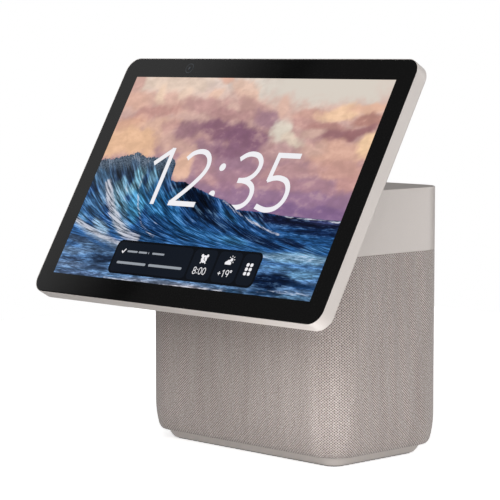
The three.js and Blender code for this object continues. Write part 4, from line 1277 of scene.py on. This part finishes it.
def sheet(name, low, high, material):
    """A flat rectangle between two corners."""
    verts = [(*low, 0), (high[0], low[1], 0), (*high, 0), (low[0], high[1], 0)]
    mesh = new_mesh(name, verts, [(0, 1, 2, 3)])
    mesh.materials.append(material)
    return mesh


def make_soft_card():
    """A dim card whose reflection lies on the left of the glass and fades out across it."""
    middle = SCREEN @ Vector((0, -SCREEN_FRONT, SCREEN_CENTRE))
    way = direction(-59, 33.6)
    across = Vector((0, 0, 1)).cross(way).normalized()
    turned = Matrix.Rotation(math.radians(10.3), 3, way) @ across
    upward = way.cross(turned)
    graph = Graph("soft_card")
    fade = graph.between(graph.parts(graph.place())["X"], -0.185, -0.072, 1.0, 0.0)
    graph.nodes.remove(graph.shader)
    glow = graph.node("ShaderNodeEmission", Color=(1.0, 1.0, 1.0, 1.0), Strength=graph.times(fade, 0.47))
    graph.links.new(glow.outputs[0], graph.nodes["Material Output"].inputs["Surface"])
    mesh = sheet("soft_card", (-0.7, -0.7), (-0.055, 0.7), graph.material)
    card = new_object("soft_card", mesh)
    place = Matrix((turned, upward, way)).transposed().to_4x4()
    place.translation = middle + way * 1.6
    card.matrix_world = place
    card.visible_camera = False


def make_floor():
    """A pale floor that is brighter to the eye than to its surroundings, as a white sweep is. To the eye it glows
    less near the object, a painted shade around it.
    """
    graph = Graph("floor")
    tone = graph.mix(graph.noise(graph.place(), 3, 2), (0.90, 0.90, 0.90), (0.92, 0.92, 0.92))
    far = graph.node("ShaderNodeVectorMath", {"operation": "LENGTH"})
    graph.feed(far.inputs[0], graph.place())
    seen = graph.node("ShaderNodeLightPath").outputs["Is Camera Ray"]
    # painted shade: the glow seen by the camera is weaker near the object, from 0.62 there to 1.0 far out
    glow = graph.times(seen, graph.between(far.outputs["Value"], 0.08, 0.4, 0.62, 1.0))
    graph.set(Base_Color=tone, Emission_Color=(1.0, 1.0, 1.0), Emission_Strength=glow, Roughness=0.9)
    half = 0.6
    new_object("floor", sheet("floor", (-half, -half), (half, half), graph.material))


# ------------------------------------------------------------------ assembly

light_plastic = plastic("light_plastic", srgb(204, 196, 191), 0.38)
taupe_plastic = plastic("taupe_plastic", srgb(160, 151, 146), 0.55)
dark_plastic = plastic("dark_plastic", (0.012, 0.012, 0.013), 0.5)
white_plastic = plastic("white_plastic", (0.75, 0.75, 0.76), 0.4)
black_glass = glass_material()
lens = lens_material()
finishes = {
    "housing_plastic": light_plastic,
    "cover_plastic": taupe_plastic,
    "dark_plastic": dark_plastic,
    "fabric": felt_material("sleeve_backing", srgb(120, 112, 106)),
    "black_glass": black_glass,
    "display": plastic("panel_glass", (0.05, 0.055, 0.06), 0.25),
    "backlight": white_plastic,
    "rubber": rubber_material(),
    "steel": metal("steel", (0.56, 0.57, 0.58)),
    "aluminium": metal("aluminium", (0.76, 0.77, 0.78), 0.36, (0, 0, 1)),
    "circuit_board": board_material(),
    "speaker_cone": felt_material("speaker_cone", (0.03, 0.03, 0.032)),
    "magnet": metal("magnet", (0.2, 0.2, 0.21), 0.5, (0, 1, 0)),
    "cable_film": film_material(),
    "lens": lens,
}
finish_cad_nodes(finishes)

make_camera_view()
make_studio()
make_fabric()
make_collar(light_plastic)
make_top(taupe_plastic)
make_buttons(light_plastic, taupe_plastic)
make_plinth(light_plastic)
make_foot(finishes["rubber"])
make_inlet(dark_plastic)
make_housing(light_plastic)
make_glass(black_glass)
make_camera(lens)
make_hinge(light_plastic)
make_display()
white_light = lit("white_light", srgb(240, 239, 243))
make_clock(white_light)
make_dock(lit("dock_shade", srgb(9, 13, 20)), lit("tile_shade", srgb(17, 23, 33)), white_light,
          lit("grey_light", srgb(150, 156, 164)))
